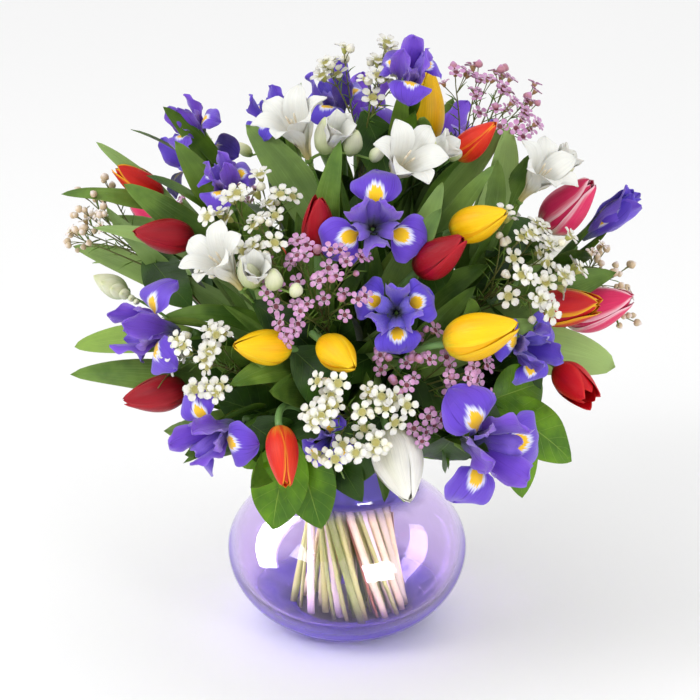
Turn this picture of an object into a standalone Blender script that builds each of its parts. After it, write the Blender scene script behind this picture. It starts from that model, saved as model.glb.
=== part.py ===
"""Tulips, Dutch irises, freesias and waxflower in a round glass vase.

The bouquet is built as a florist builds it: every cut stem stands on the floor of the vase,
passes through one narrow waist in the neck with all the others in a slow spiral, and leans out
to its own place in a dome of flowers.  One object is one cut stem with whatever grew on it, and
the vase is one more.  Lengths in the tables are millimetres and angles are degrees; the meshes
are made in metres.
"""

import math

import bmesh
import bpy
import numpy as np

for old in list(bpy.data.objects):
    bpy.data.objects.remove(old, do_unlink=True)

MM = 0.001

# ---------------------------------------------------------------- the vase
BELLY_RADIUS = 98.0        # widest half width of the bowl
BELLY_HEIGHT = 66.0        # height of the widest ring above the table
FOOT_RADIUS = 46.0         # flat ring it stands on
NECK_RADIUS = 51.0         # outside of the short upright collar
NECK_START = 121.0         # where the shoulder turns into the collar
RIM_HEIGHT = 152.0         # top of the rim
WALL = 4.5                 # glass thickness at neck and belly
FLOOR_THICKNESS = 13.0     # the heavy bottom
VASE_SEGMENTS = 48

# ---------------------------------------------------------------- the bundle of stems
WAIST_HEIGHT = 128.0       # where the bundle is tightest
WAIST_RADIUS = 38.0        # furthest a stem centre may be from the axis there
WAIST_CENTRE = (0.0, -2.5) # the bundle leans on the front of the neck
FOOT_CENTRE = (0.0, -9.0)  # and the cut ends stand a little to the front
FOOT_SPREAD = 1.34         # how much wider the bundle is on the floor than at the waist
SPIRAL_BELOW = 50.0        # turn of the bundle from the floor up to the waist
SPIRAL_ABOVE = 22.0        # turn from the waist up to the heads
STEM_GAP = 0.6            # air kept between two stems
CROWN = (0.0, 0.0, 185.0)  # the point the dome of heads is measured from
FLOOR_GAP = 0.3            # air between a cut end and the floor of the vase

STEM_RADIUS = {"tulip": 3.1, "iris": 3.0, "freesia": 1.9, "wax": 1.5, "salal": 1.8}
HEAD_LENGTH = {"tulip": 56.0, "iris": 70.0, "freesia": 52.0, "wax": 52.0, "salal": 60.0}

# name, kind, azimuth and tilt of the head seen from the crown, its reach from there,
# azimuth and tilt of the way it faces, size against the usual, colour
HEADS = [
    ("tulip_flame_left", "tulip", -175, 42, 254, -164, 52, 0.95, "flame"),
    ("tulip_red_left", "tulip", -148, 43, 238, -158, 78, 0.95, "crimson"),
    ("tulip_red_centre", "tulip", -98, 36, 244, -85, 20, 1.0, "crimson"),
    ("tulip_red_right", "tulip", -66, 42, 246, -32, 50, 1.0, "crimson"),
    ("tulip_orange_top", "tulip", -36, 26, 270, -35, 47, 0.95, "orange"),
    ("tulip_yellow_top", "tulip", -20, 14, 264, -50, 8, 1.1, "yellow"),
    ("tulip_yellow_upper", "tulip", -52, 40, 250, -28, 64, 0.98, "yellow"),
    ("tulip_yellow_right", "tulip", -62, 58, 240, -16, 70, 1.1, "yellow"),
    ("tulip_yellow_front", "tulip", -90, 59, 225, -94, 82, 0.95, "yellow"),
    ("tulip_yellow_left", "tulip", -109, 58, 224, -148, 76, 0.95, "yellow"),
    ("tulip_pink_right", "tulip", -8, 44, 250, -28, 42, 1.08, "pink"),
    ("tulip_flame_right", "tulip", -30, 58, 228, -22, 78, 1.05, "flame_wide"),
    ("tulip_pink_far", "tulip", -12, 63, 232, -18, 68, 1.1, "pink"),
    ("tulip_red_low_left", "tulip", -146, 74, 184, -164, 96, 1.0, "crimson"),
    ("tulip_red_low_right", "tulip", -36, 73, 208, -58, 106, 1.0, "scarlet"),
    ("tulip_orange_low", "tulip", -101, 78, 212, -80, 132, 1.0, "orange"),
    ("tulip_white_low", "tulip", -79, 81, 203, -77, 128, 1.1, "white"),
    ("iris_top_left", "iris", 180, 27, 266, -155, 36, 0.8, "violet"),
    ("iris_upper_left", "iris", -137, 30, 250, -112, 30, 0.85, "violet"),
    ("iris_top_mid_left", "iris", -146, 15, 264, -110, 28, 0.8, "blue"),
    ("iris_top", "iris", -106, 5, 272, -115, 20, 0.95, "blue"),
    ("iris_top_right", "iris", -56, 14, 298, -75, 28, 0.95, "violet"),
    ("iris_centre", "iris", -82, 37, 248, -88, 52, 1.1, "violet"),
    ("iris_centre_low", "iris", -80, 52, 226, -95, 60, 1.0, "blue"),
    ("iris_left", "iris", -140, 60, 222, -150, 76, 1.1, "violet"),
    ("iris_low_left", "iris", -119, 76, 211, -130, 92, 1.05, "violet"),
    ("iris_low_small", "iris", -96, 77, 198, -102, 84, 0.7, "blue"),
    ("iris_low_right", "iris", -63, 75, 222, -60, 84, 1.3, "violet"),
    ("iris_right", "iris", -46, 62, 220, -55, 84, 1.0, "blue"),
    ("iris_far_right", "iris", 2, 54, 248, -12, 46, 1.0, "blue"),
    ("freesia_top_left", "freesia", -111, 21, 266, -128, 30, 1.15, "white"),
    ("freesia_top_right", "freesia", -71, 27, 261, -60, 48, 1.15, "white"),
    ("freesia_right", "freesia", -27, 37, 260, -45, 40, 1.1, "white"),
    ("freesia_left", "freesia", -117, 47, 248, -138, 40, 1.1, "white"),
    ("freesia_buds_left", "freesia", -162, 57, 228, -166, 60, 0.8, "white"),
    ("wax_white_left", "wax", -117, 38, 238, -120, 42, 1.1, "white"),
    ("wax_white_low_left", "wax", -124, 63, 210, -128, 68, 1.0, "white"),
    ("wax_white_low", "wax", -90, 70, 200, -90, 74, 1.2, "white"),
    ("wax_white_right", "wax", -42, 47, 238, -42, 50, 1.2, "white"),
    ("wax_white_top", "wax", -72, 11, 288, -80, 14, 1.0, "white"),
    ("wax_pink_centre", "wax", -98, 47, 226, -100, 52, 1.1, "pink"),
    ("wax_pink_low", "wax", -69, 66, 206, -69, 68, 1.2, "pink"),
    ("wax_pink_top", "wax", -10, 24, 276, -15, 28, 1.2, "pink"),
    ("wax_buds_left", "wax", -178, 49, 248, -172, 54, 1.2, "buds"),
    ("wax_buds_right", "wax", -2, 60, 228, -6, 58, 1.1, "buds"),
    ("salal_front", "salal", -104, 82, 174, -98, 134, 0.95, "leaf"),
    ("salal_right", "salal", -46, 75, 206, -28, 98, 1.1, "leaf"),
    ("tulip_back_yellow", "tulip", 124, 26, 236, 116, 32, 1.0, "yellow"),
    ("tulip_back_red", "tulip", 62, 48, 236, 60, 62, 1.0, "crimson"),
    ("tulip_back_pink", "tulip", 146, 56, 232, 152, 68, 1.05, "pink"),
    ("tulip_back_flame", "tulip", 106, 72, 216, 102, 88, 1.0, "flame"),
    ("tulip_back_white", "tulip", 34, 64, 226, 28, 78, 1.0, "white"),
    ("iris_back_top", "iris", 74, 13, 244, 70, 18, 1.0, "violet"),
    ("iris_back_left", "iris", 156, 34, 236, 150, 46, 1.05, "blue"),
    ("iris_back_mid", "iris", 84, 58, 226, 86, 72, 1.1, "violet"),
    ("iris_back_right", "iris", 42, 30, 238, 38, 44, 1.05, "violet"),
    ("freesia_back", "freesia", 104, 38, 236, 108, 46, 1.1, "white"),
    ("wax_back_white", "wax", 48, 72, 206, 46, 76, 1.4, "white"),
    ("wax_back_pink", "wax", 126, 62, 206, 128, 70, 1.4, "pink"),
]

STEPS = 26                 # points along a stem from the waist to its head
ROUNDS = 460               # rounds of easing heads and stems apart


def unit(azimuth, tilt):
    """Direction with this azimuth about +Z and this tilt away from it, in degrees."""
    a, t = np.radians(azimuth), np.radians(tilt)
    return np.stack([np.sin(t) * np.cos(a), np.sin(t) * np.sin(a), np.cos(t)], -1)


def side_of(face):
    """A level direction across the way a head faces, and the one square to both."""
    level = np.cross([0.0, 0.0, 1.0], face)
    level /= np.linalg.norm(level)
    return level, np.cross(face, level)


def head_balls(kind, face, size):
    """Offsets from the middle of a head and radii of the balls that fill it."""
    s, t = side_of(face)
    if kind == "tulip":
        rows = [(-17, 0, 0, 13), (-4, 0, 0, 18), (10, 0, 0, 16.5), (22, 0, 0, 9)]
    elif kind == "iris":
        rows = [(-28, 0, 0, 8), (-14, 0, 0, 12), (20, 0, 0, 15), (8, 0, 0, 20)]
        rows += [(0, 22 * math.cos(a), 22 * math.sin(a), 10) for a in (math.pi / 2, math.pi * 7 / 6, math.pi * 11 / 6)]
    elif kind == "freesia":
        rows = [(22, 0, 0, 17), (12, 0, 0, 14), (-2, 0, 0, 8), (0, 19, 3, 7), (9, 25, 3, 7)]
        rows += [(-14, 20, 4, 3), (-9, 34, 6, 6), (-3, 41, 6, 5)]
    elif kind == "wax":
        rows = [(22, 0, 0, 8)]
        rows += [(6, 21 * math.cos(a), 21 * math.sin(a), 8) for a in np.arange(5) * math.tau / 5]
    else:
        rows = [(-20, 0, 0, 5), (-8, 0, 2, 9), (5, 0, 3, 11), (17, 0, 4, 9), (26, 0, 5, 5)]
        rows += [(x, e * y, z, r) for e in (-1, 1) for x, y, z, r in ((-17, 16, 2, 9), (-6, 29, 3, 11), (2, 40, 4, 7))]
    rows = np.array(rows, float) * size
    return rows[:, :1] * face + rows[:, 1:2] * s + rows[:, 2:3] * t, rows[:, 3]


def settle():
    """Give every stem its way through the bundle and every head its place in the dome.

    The stems share out the neck as circles that press each other apart.  Above it each one is a
    Hermite curve to the base of its head, and heads and curves are then eased apart, round by
    round, until nothing touches.
    """
    n = len(HEADS)
    kinds = [h[1] for h in HEADS]
    radius = np.array([STEM_RADIUS[k] for k in kinds])
    az = np.array([h[2] for h in HEADS], float)
    tilt = np.array([h[3] for h in HEADS], float)
    size = np.array([h[7] for h in HEADS])
    half = np.array([HEAD_LENGTH[k] for k in kinds]) * size / 2
    goal = np.array(CROWN) + np.array([h[4] for h in HEADS])[:, None] * unit(az, tilt)
    face = unit(np.array([h[5] for h in HEADS], float), np.array([h[6] for h in HEADS], float))

    # the neck: circles pressed apart inside one circle
    turn = np.radians(az + SPIRAL_ABOVE)
    waist = (WAIST_RADIUS * (tilt / 84) ** 0.7)[:, None] * np.stack([np.cos(turn), np.sin(turn)], 1)
    need = radius[:, None] + radius[None] + STEM_GAP
    for _ in range(900):
        gap = waist[:, None] - waist[None]
        dist = np.sqrt((gap ** 2).sum(-1)) + 1e-9
        push = np.clip(need - dist, 0, None) * 0.5
        np.fill_diagonal(push, 0)
        waist = waist + (gap / dist[..., None] * push[..., None]).sum(1)
        far = np.sqrt((waist ** 2).sum(1)) + 1e-9
        waist *= np.minimum(1, (WAIST_RADIUS + 3.1 - radius) / far)[:, None]
    low = math.radians(SPIRAL_BELOW)
    spin = np.array([[math.cos(low), -math.sin(low)], [math.sin(low), math.cos(low)]])
    feet = FOOT_SPREAD * waist @ spin.T
    floor = FLOOR_THICKNESS + FLOOR_GAP
    start = np.column_stack([waist + np.array(WAIST_CENTRE), np.full(n, WAIST_HEIGHT)])
    foot = np.column_stack([feet + np.array(FOOT_CENTRE), np.full(n, floor)])

    balls = [head_balls(k, f, s) for k, f, s in zip(kinds, face, size)]
    owner = np.concatenate([np.full(len(b[1]), i) for i, b in enumerate(balls)])
    offset = np.concatenate([b[0] for b in balls])
    ball_r = np.concatenate([b[1] for b in balls])
    middle = goal.copy()
    t = np.linspace(0, 1, STEPS + 1)[None, :, None]
    h0, h1, h2, h3 = 2 * t**3 - 3 * t**2 + 1, t**3 - 2 * t**2 + t, -2 * t**3 + 3 * t**2, t**3 - t**2
    sway = np.zeros((n, STEPS + 1, 3))
    hold = np.minimum(np.arange(STEPS + 1), np.arange(STEPS + 1)[::-1])[None, :, None]
    hold = np.clip(hold / 1.5, 0, 1)
    reach_out = (goal - np.array(CROWN)) / np.linalg.norm(goal - np.array(CROWN), axis=1, keepdims=True)
    who = np.concatenate([np.repeat(np.arange(n), STEPS + 1), owner, np.full(48, n)])
    thick = np.broadcast_to(radius[:, None], (n, STEPS + 1)).copy()
    thick += 0.5 + np.clip(np.arange(STEPS + 1) - 2, 0, 5)[None] * 0.45
    rim = np.arange(48) * math.tau / 48
    rim = np.column_stack([np.cos(rim), np.sin(rim), np.zeros(48)]) * (NECK_RADIUS - WALL / 2)
    rim = rim + np.array([0, 0, RIM_HEIGHT - 2.5])
    rad = np.concatenate([thick.ravel(), ball_r + 1.5, np.full(48, WALL / 2 + 2.7)])
    is_head = np.concatenate([np.zeros(n * (STEPS + 1), bool), np.ones(len(owner), bool), np.zeros(48, bool)])
    near = need * 0
    for turn_no in range(ROUNDS):
        base = middle - face * half[:, None]
        span = np.linalg.norm(base - start, axis=1)[:, None]
        lead = (start - foot) / np.linalg.norm(start - foot, axis=1, keepdims=True)
        outward = np.column_stack([base[:, :2] - start[:, :2], np.zeros(n)])
        outward /= np.linalg.norm(outward, axis=1, keepdims=True) + 1e-9
        lead = lead * 0.6 + np.array([0, 0, 0.5]) + outward * 0.05
        lead /= np.linalg.norm(lead, axis=1, keepdims=True)
        path = (h0 * start[:, None] + h1 * (lead * span * 0.75)[:, None]
                + h2 * base[:, None] + h3 * (face * span * 0.55)[:, None]) + sway
        points = np.concatenate([path.reshape(-1, 3), middle[owner] + offset, rim])
        sq = (points ** 2).sum(1)
        d2 = sq[:, None] + sq[None] - 2 * points @ points.T
        want = rad[:, None] + rad[None]
        i, j = np.nonzero((d2 < want ** 2) & (who[:, None] < who[None]))
        delta = points[i] - points[j]
        dist = np.linalg.norm(delta, axis=1) + 1e-6
        push = delta / dist[:, None] * ((want[i, j] - dist) * 0.5)[:, None]
        shift = np.zeros_like(points)
        count = np.zeros(len(points))
        soft = np.where(is_head[i] & ~is_head[j], 0.25, np.where(~is_head[i] & is_head[j], 1.75, 1.0))
        np.add.at(shift, i, push * soft[:, None])
        np.add.at(shift, j, -push * (2 - soft)[:, None])
        np.add.at(count, i, 1)
        np.add.at(count, j, 1)
        shift /= np.maximum(1, np.sqrt(count))[:, None]
        stems = shift[: n * (STEPS + 1)].reshape(n, STEPS + 1, 3)
        sway += stems * hold * 0.9
        for _ in range(2):
            sway[:, 1:-1] = 0.5 * sway[:, 1:-1] + 0.25 * (sway[:, :-2] + sway[:, 2:])
        sway[:, 0] = 0
        sway[:, -1] = 0
        heads = np.zeros((n, 3))
        np.add.at(heads, owner, shift[n * (STEPS + 1):-48])
        along = (heads * reach_out).sum(1, keepdims=True) * reach_out
        middle += 0.5 * (along + 0.45 * (heads - along))
        middle += max(0.0, 0.014 * (1 - 1.7 * turn_no / ROUNDS)) * (goal - middle)
        # inside the collar a stem keeps off the glass
        z = path[..., 2]
        flat = np.sqrt((path[..., :2] ** 2).sum(-1)) + 1e-9
        most = NECK_RADIUS - WALL - radius[:, None] - 1.7 + np.clip(z - RIM_HEIGHT - 4, 0, None) * 1.1
        over = np.clip(flat - most, 0, None) / flat
        sway[..., :2] -= path[..., :2] * over[..., None] * (z < RIM_HEIGHT + 60)[..., None]
    return {"names": [h[0] for h in HEADS], "foot": foot, "start": start, "path": path, "middle": middle,
            "face": face, "half": half, "radius": radius, "goal": goal, "clash": (i, j, want[i, j] - dist, who, is_head)}

# leaves: the stem one grows on, how far up from the waist (0 to 1), azimuth and tilt of its tip
# from the crown, the tip's reach, and its greatest width
LEAVES = [
    ("iris_top_left", 0.62, 178, 36, 286, 26),
    ("tulip_flame_left", 0.55, -176, 50, 272, 24),
    ("iris_upper_left", 0.60, -150, 30, 280, 30),
    ("tulip_red_left", 0.50, -166, 58, 262, 22),
    ("tulip_red_centre", 0.60, -92, 26, 288, 26),
    ("tulip_yellow_top", 0.60, -66, 14, 288, 26),
    ("tulip_orange_top", 0.62, -24, 28, 286, 34),
    ("tulip_red_right", 0.60, -66, 30, 274, 26),
    ("tulip_pink_right", 0.55, 0, 50, 262, 28),
    ("tulip_flame_right", 0.55, -14, 72, 252, 34),
    ("tulip_red_low_left", 0.45, -162, 76, 232, 28),
    ("tulip_yellow_left", 0.60, -122, 66, 228, 28),
    ("tulip_back_yellow", 0.60, 140, 20, 258, 30),
    ("tulip_back_red", 0.55, 72, 62, 246, 32),
    ("tulip_back_pink", 0.55, 166, 54, 250, 30),
    ("tulip_back_flame", 0.50, 118, 84, 230, 32),
    ("tulip_back_white", 0.50, 16, 66, 238, 30),
    ("iris_back_left", 0.55, 168, 42, 254, 26),
    ("iris_back_right", 0.55, 22, 32, 258, 26),
    ("iris_back_mid", 0.55, 98, 48, 250, 26),
]


def leaf_line(start, along, tip, steps=9):
    """Middle line of a leaf: it leaves the stem along it and bows out to its tip."""
    t = np.linspace(0, 1, steps)[:, None]
    span = np.linalg.norm(tip - start)
    bend = start + along * span * 0.55
    return (1 - t) ** 2 * start + 2 * t * (1 - t) * bend + t**2 * tip


def place_leaves(bed):
    """Turns or shortens each leaf of LEAVES until its blade is clear of every other stem."""
    names = bed["names"]
    points, rad, who = [], [], []
    for k, name in enumerate(names):
        balls, r = head_balls(HEADS[k][1], bed["face"][k], HEADS[k][7])
        path = bed["path"][k]
        points += [path, (path[1:] + path[:-1]) / 2, bed["middle"][k] + balls]
        rad += [np.full(2 * STEPS + 1, bed["radius"][k]), r]
        who += [np.full(2 * STEPS + 1 + len(r), k)]
    points, rad, who = np.concatenate(points), np.concatenate(rad), np.concatenate(who)
    placed = []
    for name, share, az, tilt, reach, width in LEAVES:
        k = names.index(name)
        path = bed["path"][k]
        at = int(round(share * STEPS))
        along = path[at + 1] - path[at - 1]
        along /= np.linalg.norm(along)
        best = None
        for shrink in (1.0, 0.85, 0.7, 0.55):
            for turn in (0, 8, -8, 16, -16, 26, -26, 38, -38):
                for lift in (0, 8, -8, 16, -14):
                    if best is not None:
                        continue
                    tip = np.array(CROWN) + reach * unit(az + turn, tilt + lift)
                    tip = path[at] + (tip - path[at]) * shrink
                    line = leaf_line(path[at], along, tip, 23)
                    across = np.cross(tip - path[at], along)
                    if np.linalg.norm(across) < 1e-6:
                        continue
                    across /= np.linalg.norm(across)
                    t = np.linspace(0, 1, 23)
                    wide = width / 2 * np.sin(np.pi * t**0.8) ** 0.75
                    blade = np.concatenate([line + across * (wide * e)[:, None] for e in (-1, -0.67, -0.33, 0, 0.33, 0.67, 1)])
                    other = who != k
                    d = np.linalg.norm(blade[:, None] - points[other][None], axis=2) - rad[other][None]
                    if d.min() > 3.2:
                        best = (k, at, tip, width * (0.6 + 0.4 * shrink), across)
                        points = np.concatenate([points, blade])
                        rad = np.concatenate([rad, np.full(len(blade), 0.8)])
                        who = np.concatenate([who, np.full(len(blade), k)])
        placed.append(best)
    return placed


# ================ shapes
def loft(rings):
    """Closed skin over a chain of rings; a ring may have twice the corners of the one before."""
    verts = np.concatenate(rings)
    faces = []
    offset = 0
    for a, b in zip(rings[:-1], rings[1:]):
        n, m, lo, hi = len(a), len(b), offset, offset + len(a)
        for k in range(n):
            q = (k + 1) % n
            if m == 1:
                faces.append((lo + k, lo + q, hi))
            elif m == n:
                faces.append((lo + k, lo + q, hi + q))
                faces.append((lo + k, hi + q, hi + k))
            else:
                faces.append((lo + k, lo + q, hi + 2 * k + 1))
                faces.append((lo + k, hi + 2 * k + 1, hi + 2 * k))
                faces.append((lo + q, hi + (2 * k + 2) % m, hi + 2 * k + 1))
        offset += n
    faces.append(tuple(range(len(rings[0])))[::-1])
    return verts, faces


def frames(line):
    """Directions along a line of points and two directions square to it, carried without twist."""
    along = np.gradient(line, axis=0)
    along /= np.linalg.norm(along, axis=1, keepdims=True)
    x = np.array([1.0, 0.2, 0.0])
    out = []
    for d in along:
        x = x - d * (x @ d)
        x /= np.linalg.norm(x)
        out.append((d, x, np.cross(d, x)))
    return out


def ring(centre, x, y, radius, sides, phase=0.0, lift=None, axis=None):
    a = np.arange(sides) * math.tau / sides + phase
    r = radius(a) if callable(radius) else np.full(sides, float(radius))
    points = centre + np.outer(r * np.cos(a), x) + np.outer(r * np.sin(a), y)
    if lift is not None:
        points = points + np.outer(lift(a), axis)
    return points


def solid(name, verts, faces):
    mesh = bpy.data.meshes.new(name)
    mesh.from_pydata([tuple(v * MM) for v in verts], [], faces)
    bm = bmesh.new()
    bm.from_mesh(mesh)
    bmesh.ops.recalc_face_normals(bm, faces=bm.faces)
    bmesh.ops.triangulate(bm, faces=bm.faces)
    if bm.calc_volume(signed=True) < 0:
        bmesh.ops.reverse_faces(bm, faces=bm.faces)
    bm.to_mesh(mesh)
    bm.free()
    obj = bpy.data.objects.new(name, mesh)
    bpy.context.scene.collection.objects.link(obj)
    return obj


def join(body, extras):
    """Unites the extra pieces with the body they grow from, one closed skin in the end."""
    for extra in extras:
        cut = body.modifiers.new("grow", "BOOLEAN")
        cut.operation = "UNION"
        cut.solver = "EXACT"
        cut.object = extra
        made = bpy.data.meshes.new_from_object(body.evaluated_get(bpy.context.evaluated_depsgraph_get()))
        body.modifiers.clear()
        body.data = made
        made.name = body.name
        bpy.data.objects.remove(extra, do_unlink=True)
        bpy.context.view_layer.update()


def paint(obj, colour, roughness):
    material = bpy.data.materials.new(obj.name)
    material.use_nodes = True
    shader = material.node_tree.nodes["Principled BSDF"]
    shader.inputs["Base Color"].default_value = (*colour, 1.0)
    shader.inputs["Roughness"].default_value = roughness
    shader.inputs["Metallic"].default_value = 0.0
    obj.data.materials.clear()
    obj.data.materials.append(material)
    return shader


def stem_rings(foot, path, radius, sides=6):
    """Rings from the cut end on the floor of the vase, through the waist, up to the head."""
    line = np.concatenate([[foot], path[[0, 2, 4, 7, 11, 16, 21, STEPS]]])
    made = frames(line)
    rings = []
    for k, (p, (d, x, y)) in enumerate(zip(line, made)):
        if k == 0:  # the cut end is level, flat on the glass
            a = np.arange(sides) * math.tau / sides
            flat = p + np.outer(np.cos(a), radius * np.array([made[0][1][0], made[0][1][1], 0]))
            flat = flat + np.outer(np.sin(a), radius * np.array([made[0][2][0], made[0][2][1], 0]))
            rings.append(flat)
        else:
            rings.append(ring(p, x, y, radius, sides))
    return rings, made[-1]


def tulip(name, foot, path, face, half, radius, size):
    rings, (d, x, y) = stem_rings(foot, path, radius)
    length = 2 * half
    base = path[STEPS]
    petals = lambda a: 1 + 0.07 * np.cos(3 * a)
    for s, r in ((0.05, 0.19), (0.17, 0.29), (0.38, 0.335), (0.6, 0.31), (0.8, 0.225), (0.94, 0.11)):
        rings.append(ring(base + face * length * s, x, y, lambda a: length * r * petals(a), 12))
    rings.append(np.array([base + face * length]))
    return solid(name, *loft(rings))


def iris(name, foot, path, face, half, radius, size):
    rings, (d, x, y) = stem_rings(foot, path, radius)
    base = path[STEPS]
    k = size
    lobe = lambda a: np.cos(1.5 * a) ** 2
    up = lambda a: np.cos(1.5 * (a + math.pi / 3)) ** 2
    rings.append(ring(base + face * 14 * k, x, y, 5.5 * k, 12))
    rings.append(ring(base + face * 26 * k, x, y, 8.0 * k, 12))
    rings.append(ring(base + face * 30 * k, x, y, lambda a: (9 + 21 * lobe(a)) * k, 12, 0, lambda a: -5 * k * lobe(a), face))
    rings.append(ring(base + face * 34 * k, x, y, lambda a: (8.5 + 22 * lobe(a)) * k, 12, 0, lambda a: -5 * k * lobe(a), face))
    rings.append(ring(base + face * 40 * k, x, y, lambda a: (8 + 3 * up(a)) * k, 12))
    rings.append(ring(base + face * 54 * k, x, y, lambda a: (6 + 9 * up(a)) * k, 12))
    rings.append(ring(base + face * 66 * k, x, y, lambda a: (2 + 5 * up(a)) * k, 12))
    rings.append(np.array([base + face * 70 * k]))
    return solid(name, *loft(rings))


def trumpet(name, base, aim, length, mouth, sides=8):
    """One freesia flower or bud: a slim tube that widens to its mouth."""
    d = aim / np.linalg.norm(aim)
    s, t = side_of(d) if abs(d[2]) < 0.99 else (np.array([1.0, 0, 0]), np.array([0, 1.0, 0]))
    rings = [ring(base, s, t, 1.6, sides, 0.31)]
    for f, r in ((0.2, 0.16), (0.5, 0.3), (0.78, 0.62), (0.95, 1.0), (1.0, 0.82)):
        rings.append(ring(base + d * length * f, s, t, mouth * r, sides, 0.31))
    rings.append(np.array([base + d * length * 0.93]) if mouth > 9 else np.array([base + d * length * 1.04]))
    return solid(name, *loft(rings))


def freesia(name, foot, path, face, half, radius, size):
    rings, (d, x, y) = stem_rings(foot, path, radius)
    base = path[STEPS]
    s, t = side_of(face)
    k = size
    # the comb turns aside at the top of the stem and carries the buds
    comb = [base + face * 8 * k, base + face * 14 * k + s * 12 * k + t * 3 * k, base + face * 12 * k + s * 30 * k + t * 6 * k]
    rings.append(ring(comb[0], x, y, 2.2, 6))
    rings.append(np.array([base + face * 13 * k]))
    body = solid(name, *loft(rings))
    arm_line = np.array([base + face * 6 * k] + comb[1:])
    arm = []
    for p, (dd, xx, yy) in zip(arm_line, frames(arm_line)):
        arm.append(ring(p, xx, yy, 1.5, 5))
    arm.append(np.array([arm_line[-1] + (arm_line[-1] - arm_line[-2]) * 0.15]))
    extras = [solid("comb", *loft(arm))]
    extras.append(trumpet("bloom", base + face * 9 * k + t * 0.5, face + t * 0.03, 47 * k, 19 * k))
    extras.append(trumpet("bud", comb[1], face * 0.9 + s * 0.5, 28 * k, 7 * k, 6))
    extras.append(trumpet("bud", comb[2] - s * 3, face * 0.6 + s * 0.8, 18 * k, 5 * k, 6))
    join(body, extras)
    return body


def blossom_ball(name, base, tip, radius):
    """A twig and the knot of small flowers at its end."""
    line = np.array([base, tip])
    d = (tip - base) / np.linalg.norm(tip - base)
    made = frames(line)
    rings = [ring(base, made[0][1], made[0][2], 0.9, 4)]
    rings.append(ring(tip - d * radius, made[1][1], made[1][2], 0.9, 4))
    rings.append(ring(tip - d * radius * 0.55, made[1][1], made[1][2], radius * 0.8, 4))
    rings.append(ring(tip + d * radius * 0.4, made[1][1], made[1][2], radius * 0.9, 4, math.pi / 4))
    rings.append(np.array([tip + d * radius * 0.95]))
    return solid(name, *loft(rings))


def wax(name, foot, path, face, half, radius, size):
    rings, (d, x, y) = stem_rings(foot, path, radius, 5)
    base = path[STEPS]
    s, t = side_of(face)
    k = size
    centre = base + face * half
    rings.append(ring(base + face * 10 * k, x, y, 1.3, 5))
    rings.append(np.array([base + face * 16 * k]))
    body = solid(name, *loft(rings))
    extras = [blossom_ball("twig", base + face * 11 * k + s * 0.2, centre + face * 20 * k, 7.5 * k)]
    for i, a in enumerate(np.arange(5) * math.tau / 5):
        tip = centre + face * 6 * k + 21 * k * (math.cos(a) * s + math.sin(a) * t)
        extras.append(blossom_ball("twig", base + face * (i * 2.3 - 3) * k, tip, 7.0 * k))
    join(body, extras)
    return body


def blade(name, line, across, width, thickness=1.2):
    """A leaf: a lens-shaped section drawn along its middle line, widest below the middle."""
    made = np.gradient(line, axis=0)
    made /= np.linalg.norm(made, axis=1, keepdims=True)
    t = np.linspace(0, 1, len(line))
    half = np.maximum(width / 2 * np.sin(np.pi * t**0.8) ** 0.75, 0.0)
    half[0] = 1.0
    rings = []
    for p, d, h in zip(line[:-1], made[:-1], half[:-1]):
        up = np.cross(d, across)
        up /= np.linalg.norm(up)
        h = max(h, 0.9)
        rings.append(np.array([p + across * h, p + up * thickness / 2, p - across * h, p - up * thickness / 2]))
    rings.append(np.array([line[-1]]))
    return solid(name, *loft(rings))


def salal(name, foot, path, face, half, radius, size):
    rings, (d, x, y) = stem_rings(foot, path, radius, 5)
    base = path[STEPS]
    s, t = side_of(face)
    k = size
    rings.append(np.array([base + face * 6]))
    body = solid(name, *loft(rings))
    extras = []
    for side, aim in ((0.0, 1.0), (0.75, 0.6), (-0.75, 0.6)):
        way = face * aim + s * side
        way /= np.linalg.norm(way)
        start = base - face * 2
        line = leaf_line(start, way, start + way * 58 * k + t * 5 * k, 8)
        across = np.cross(way, t)
        across /= np.linalg.norm(across)
        extras.append(blade("leaf", line, across, 30 * k))
    join(body, extras)
    return body


def glass_profile():
    """Half section of the vase, outside from the foot up, over the rim and down the inside."""
    low, high = BELLY_HEIGHT / math.sqrt(1 - (FOOT_RADIUS / BELLY_RADIUS) ** 2), (NECK_START - BELLY_HEIGHT) / math.sqrt(
        1 - (NECK_RADIUS / BELLY_RADIUS) ** 2
    )
    outer = [(FOOT_RADIUS - 4, 0.0), (FOOT_RADIUS, 0.0)]
    for z in (3, 10, 20, 34, 50, 66):
        outer.append((BELLY_RADIUS * math.sqrt(1 - ((BELLY_HEIGHT - z) / low) ** 2), z))
    for z in (80, 93, 104, 113):
        outer.append((BELLY_RADIUS * math.sqrt(1 - ((z - BELLY_HEIGHT) / high) ** 2), z))
    outer += [(NECK_RADIUS + 3.0, 119.5), (NECK_RADIUS, 125), (NECK_RADIUS - 0.6, 138), (NECK_RADIUS, RIM_HEIGHT - 1.2),
              (NECK_RADIUS - 1.2, RIM_HEIGHT)]
    inner = [(NECK_RADIUS - WALL + 1.0, RIM_HEIGHT), (NECK_RADIUS - WALL, RIM_HEIGHT - 1.2), (NECK_RADIUS - WALL - 0.6, 138),
             (NECK_RADIUS - WALL + 0.4, 123.5)]
    for r, z in reversed(outer[8:12]):
        inner.append((r - WALL - 0.6, z - 2.6))
    for z in (66, 52, 38, 26):
        inner.append((BELLY_RADIUS * math.sqrt(1 - ((BELLY_HEIGHT - z) / low) ** 2) - WALL - (66 - z) * 0.06, z))
    inner += [(68.0, 16.0), (61.0, FLOOR_THICKNESS)]
    return outer, inner


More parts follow.
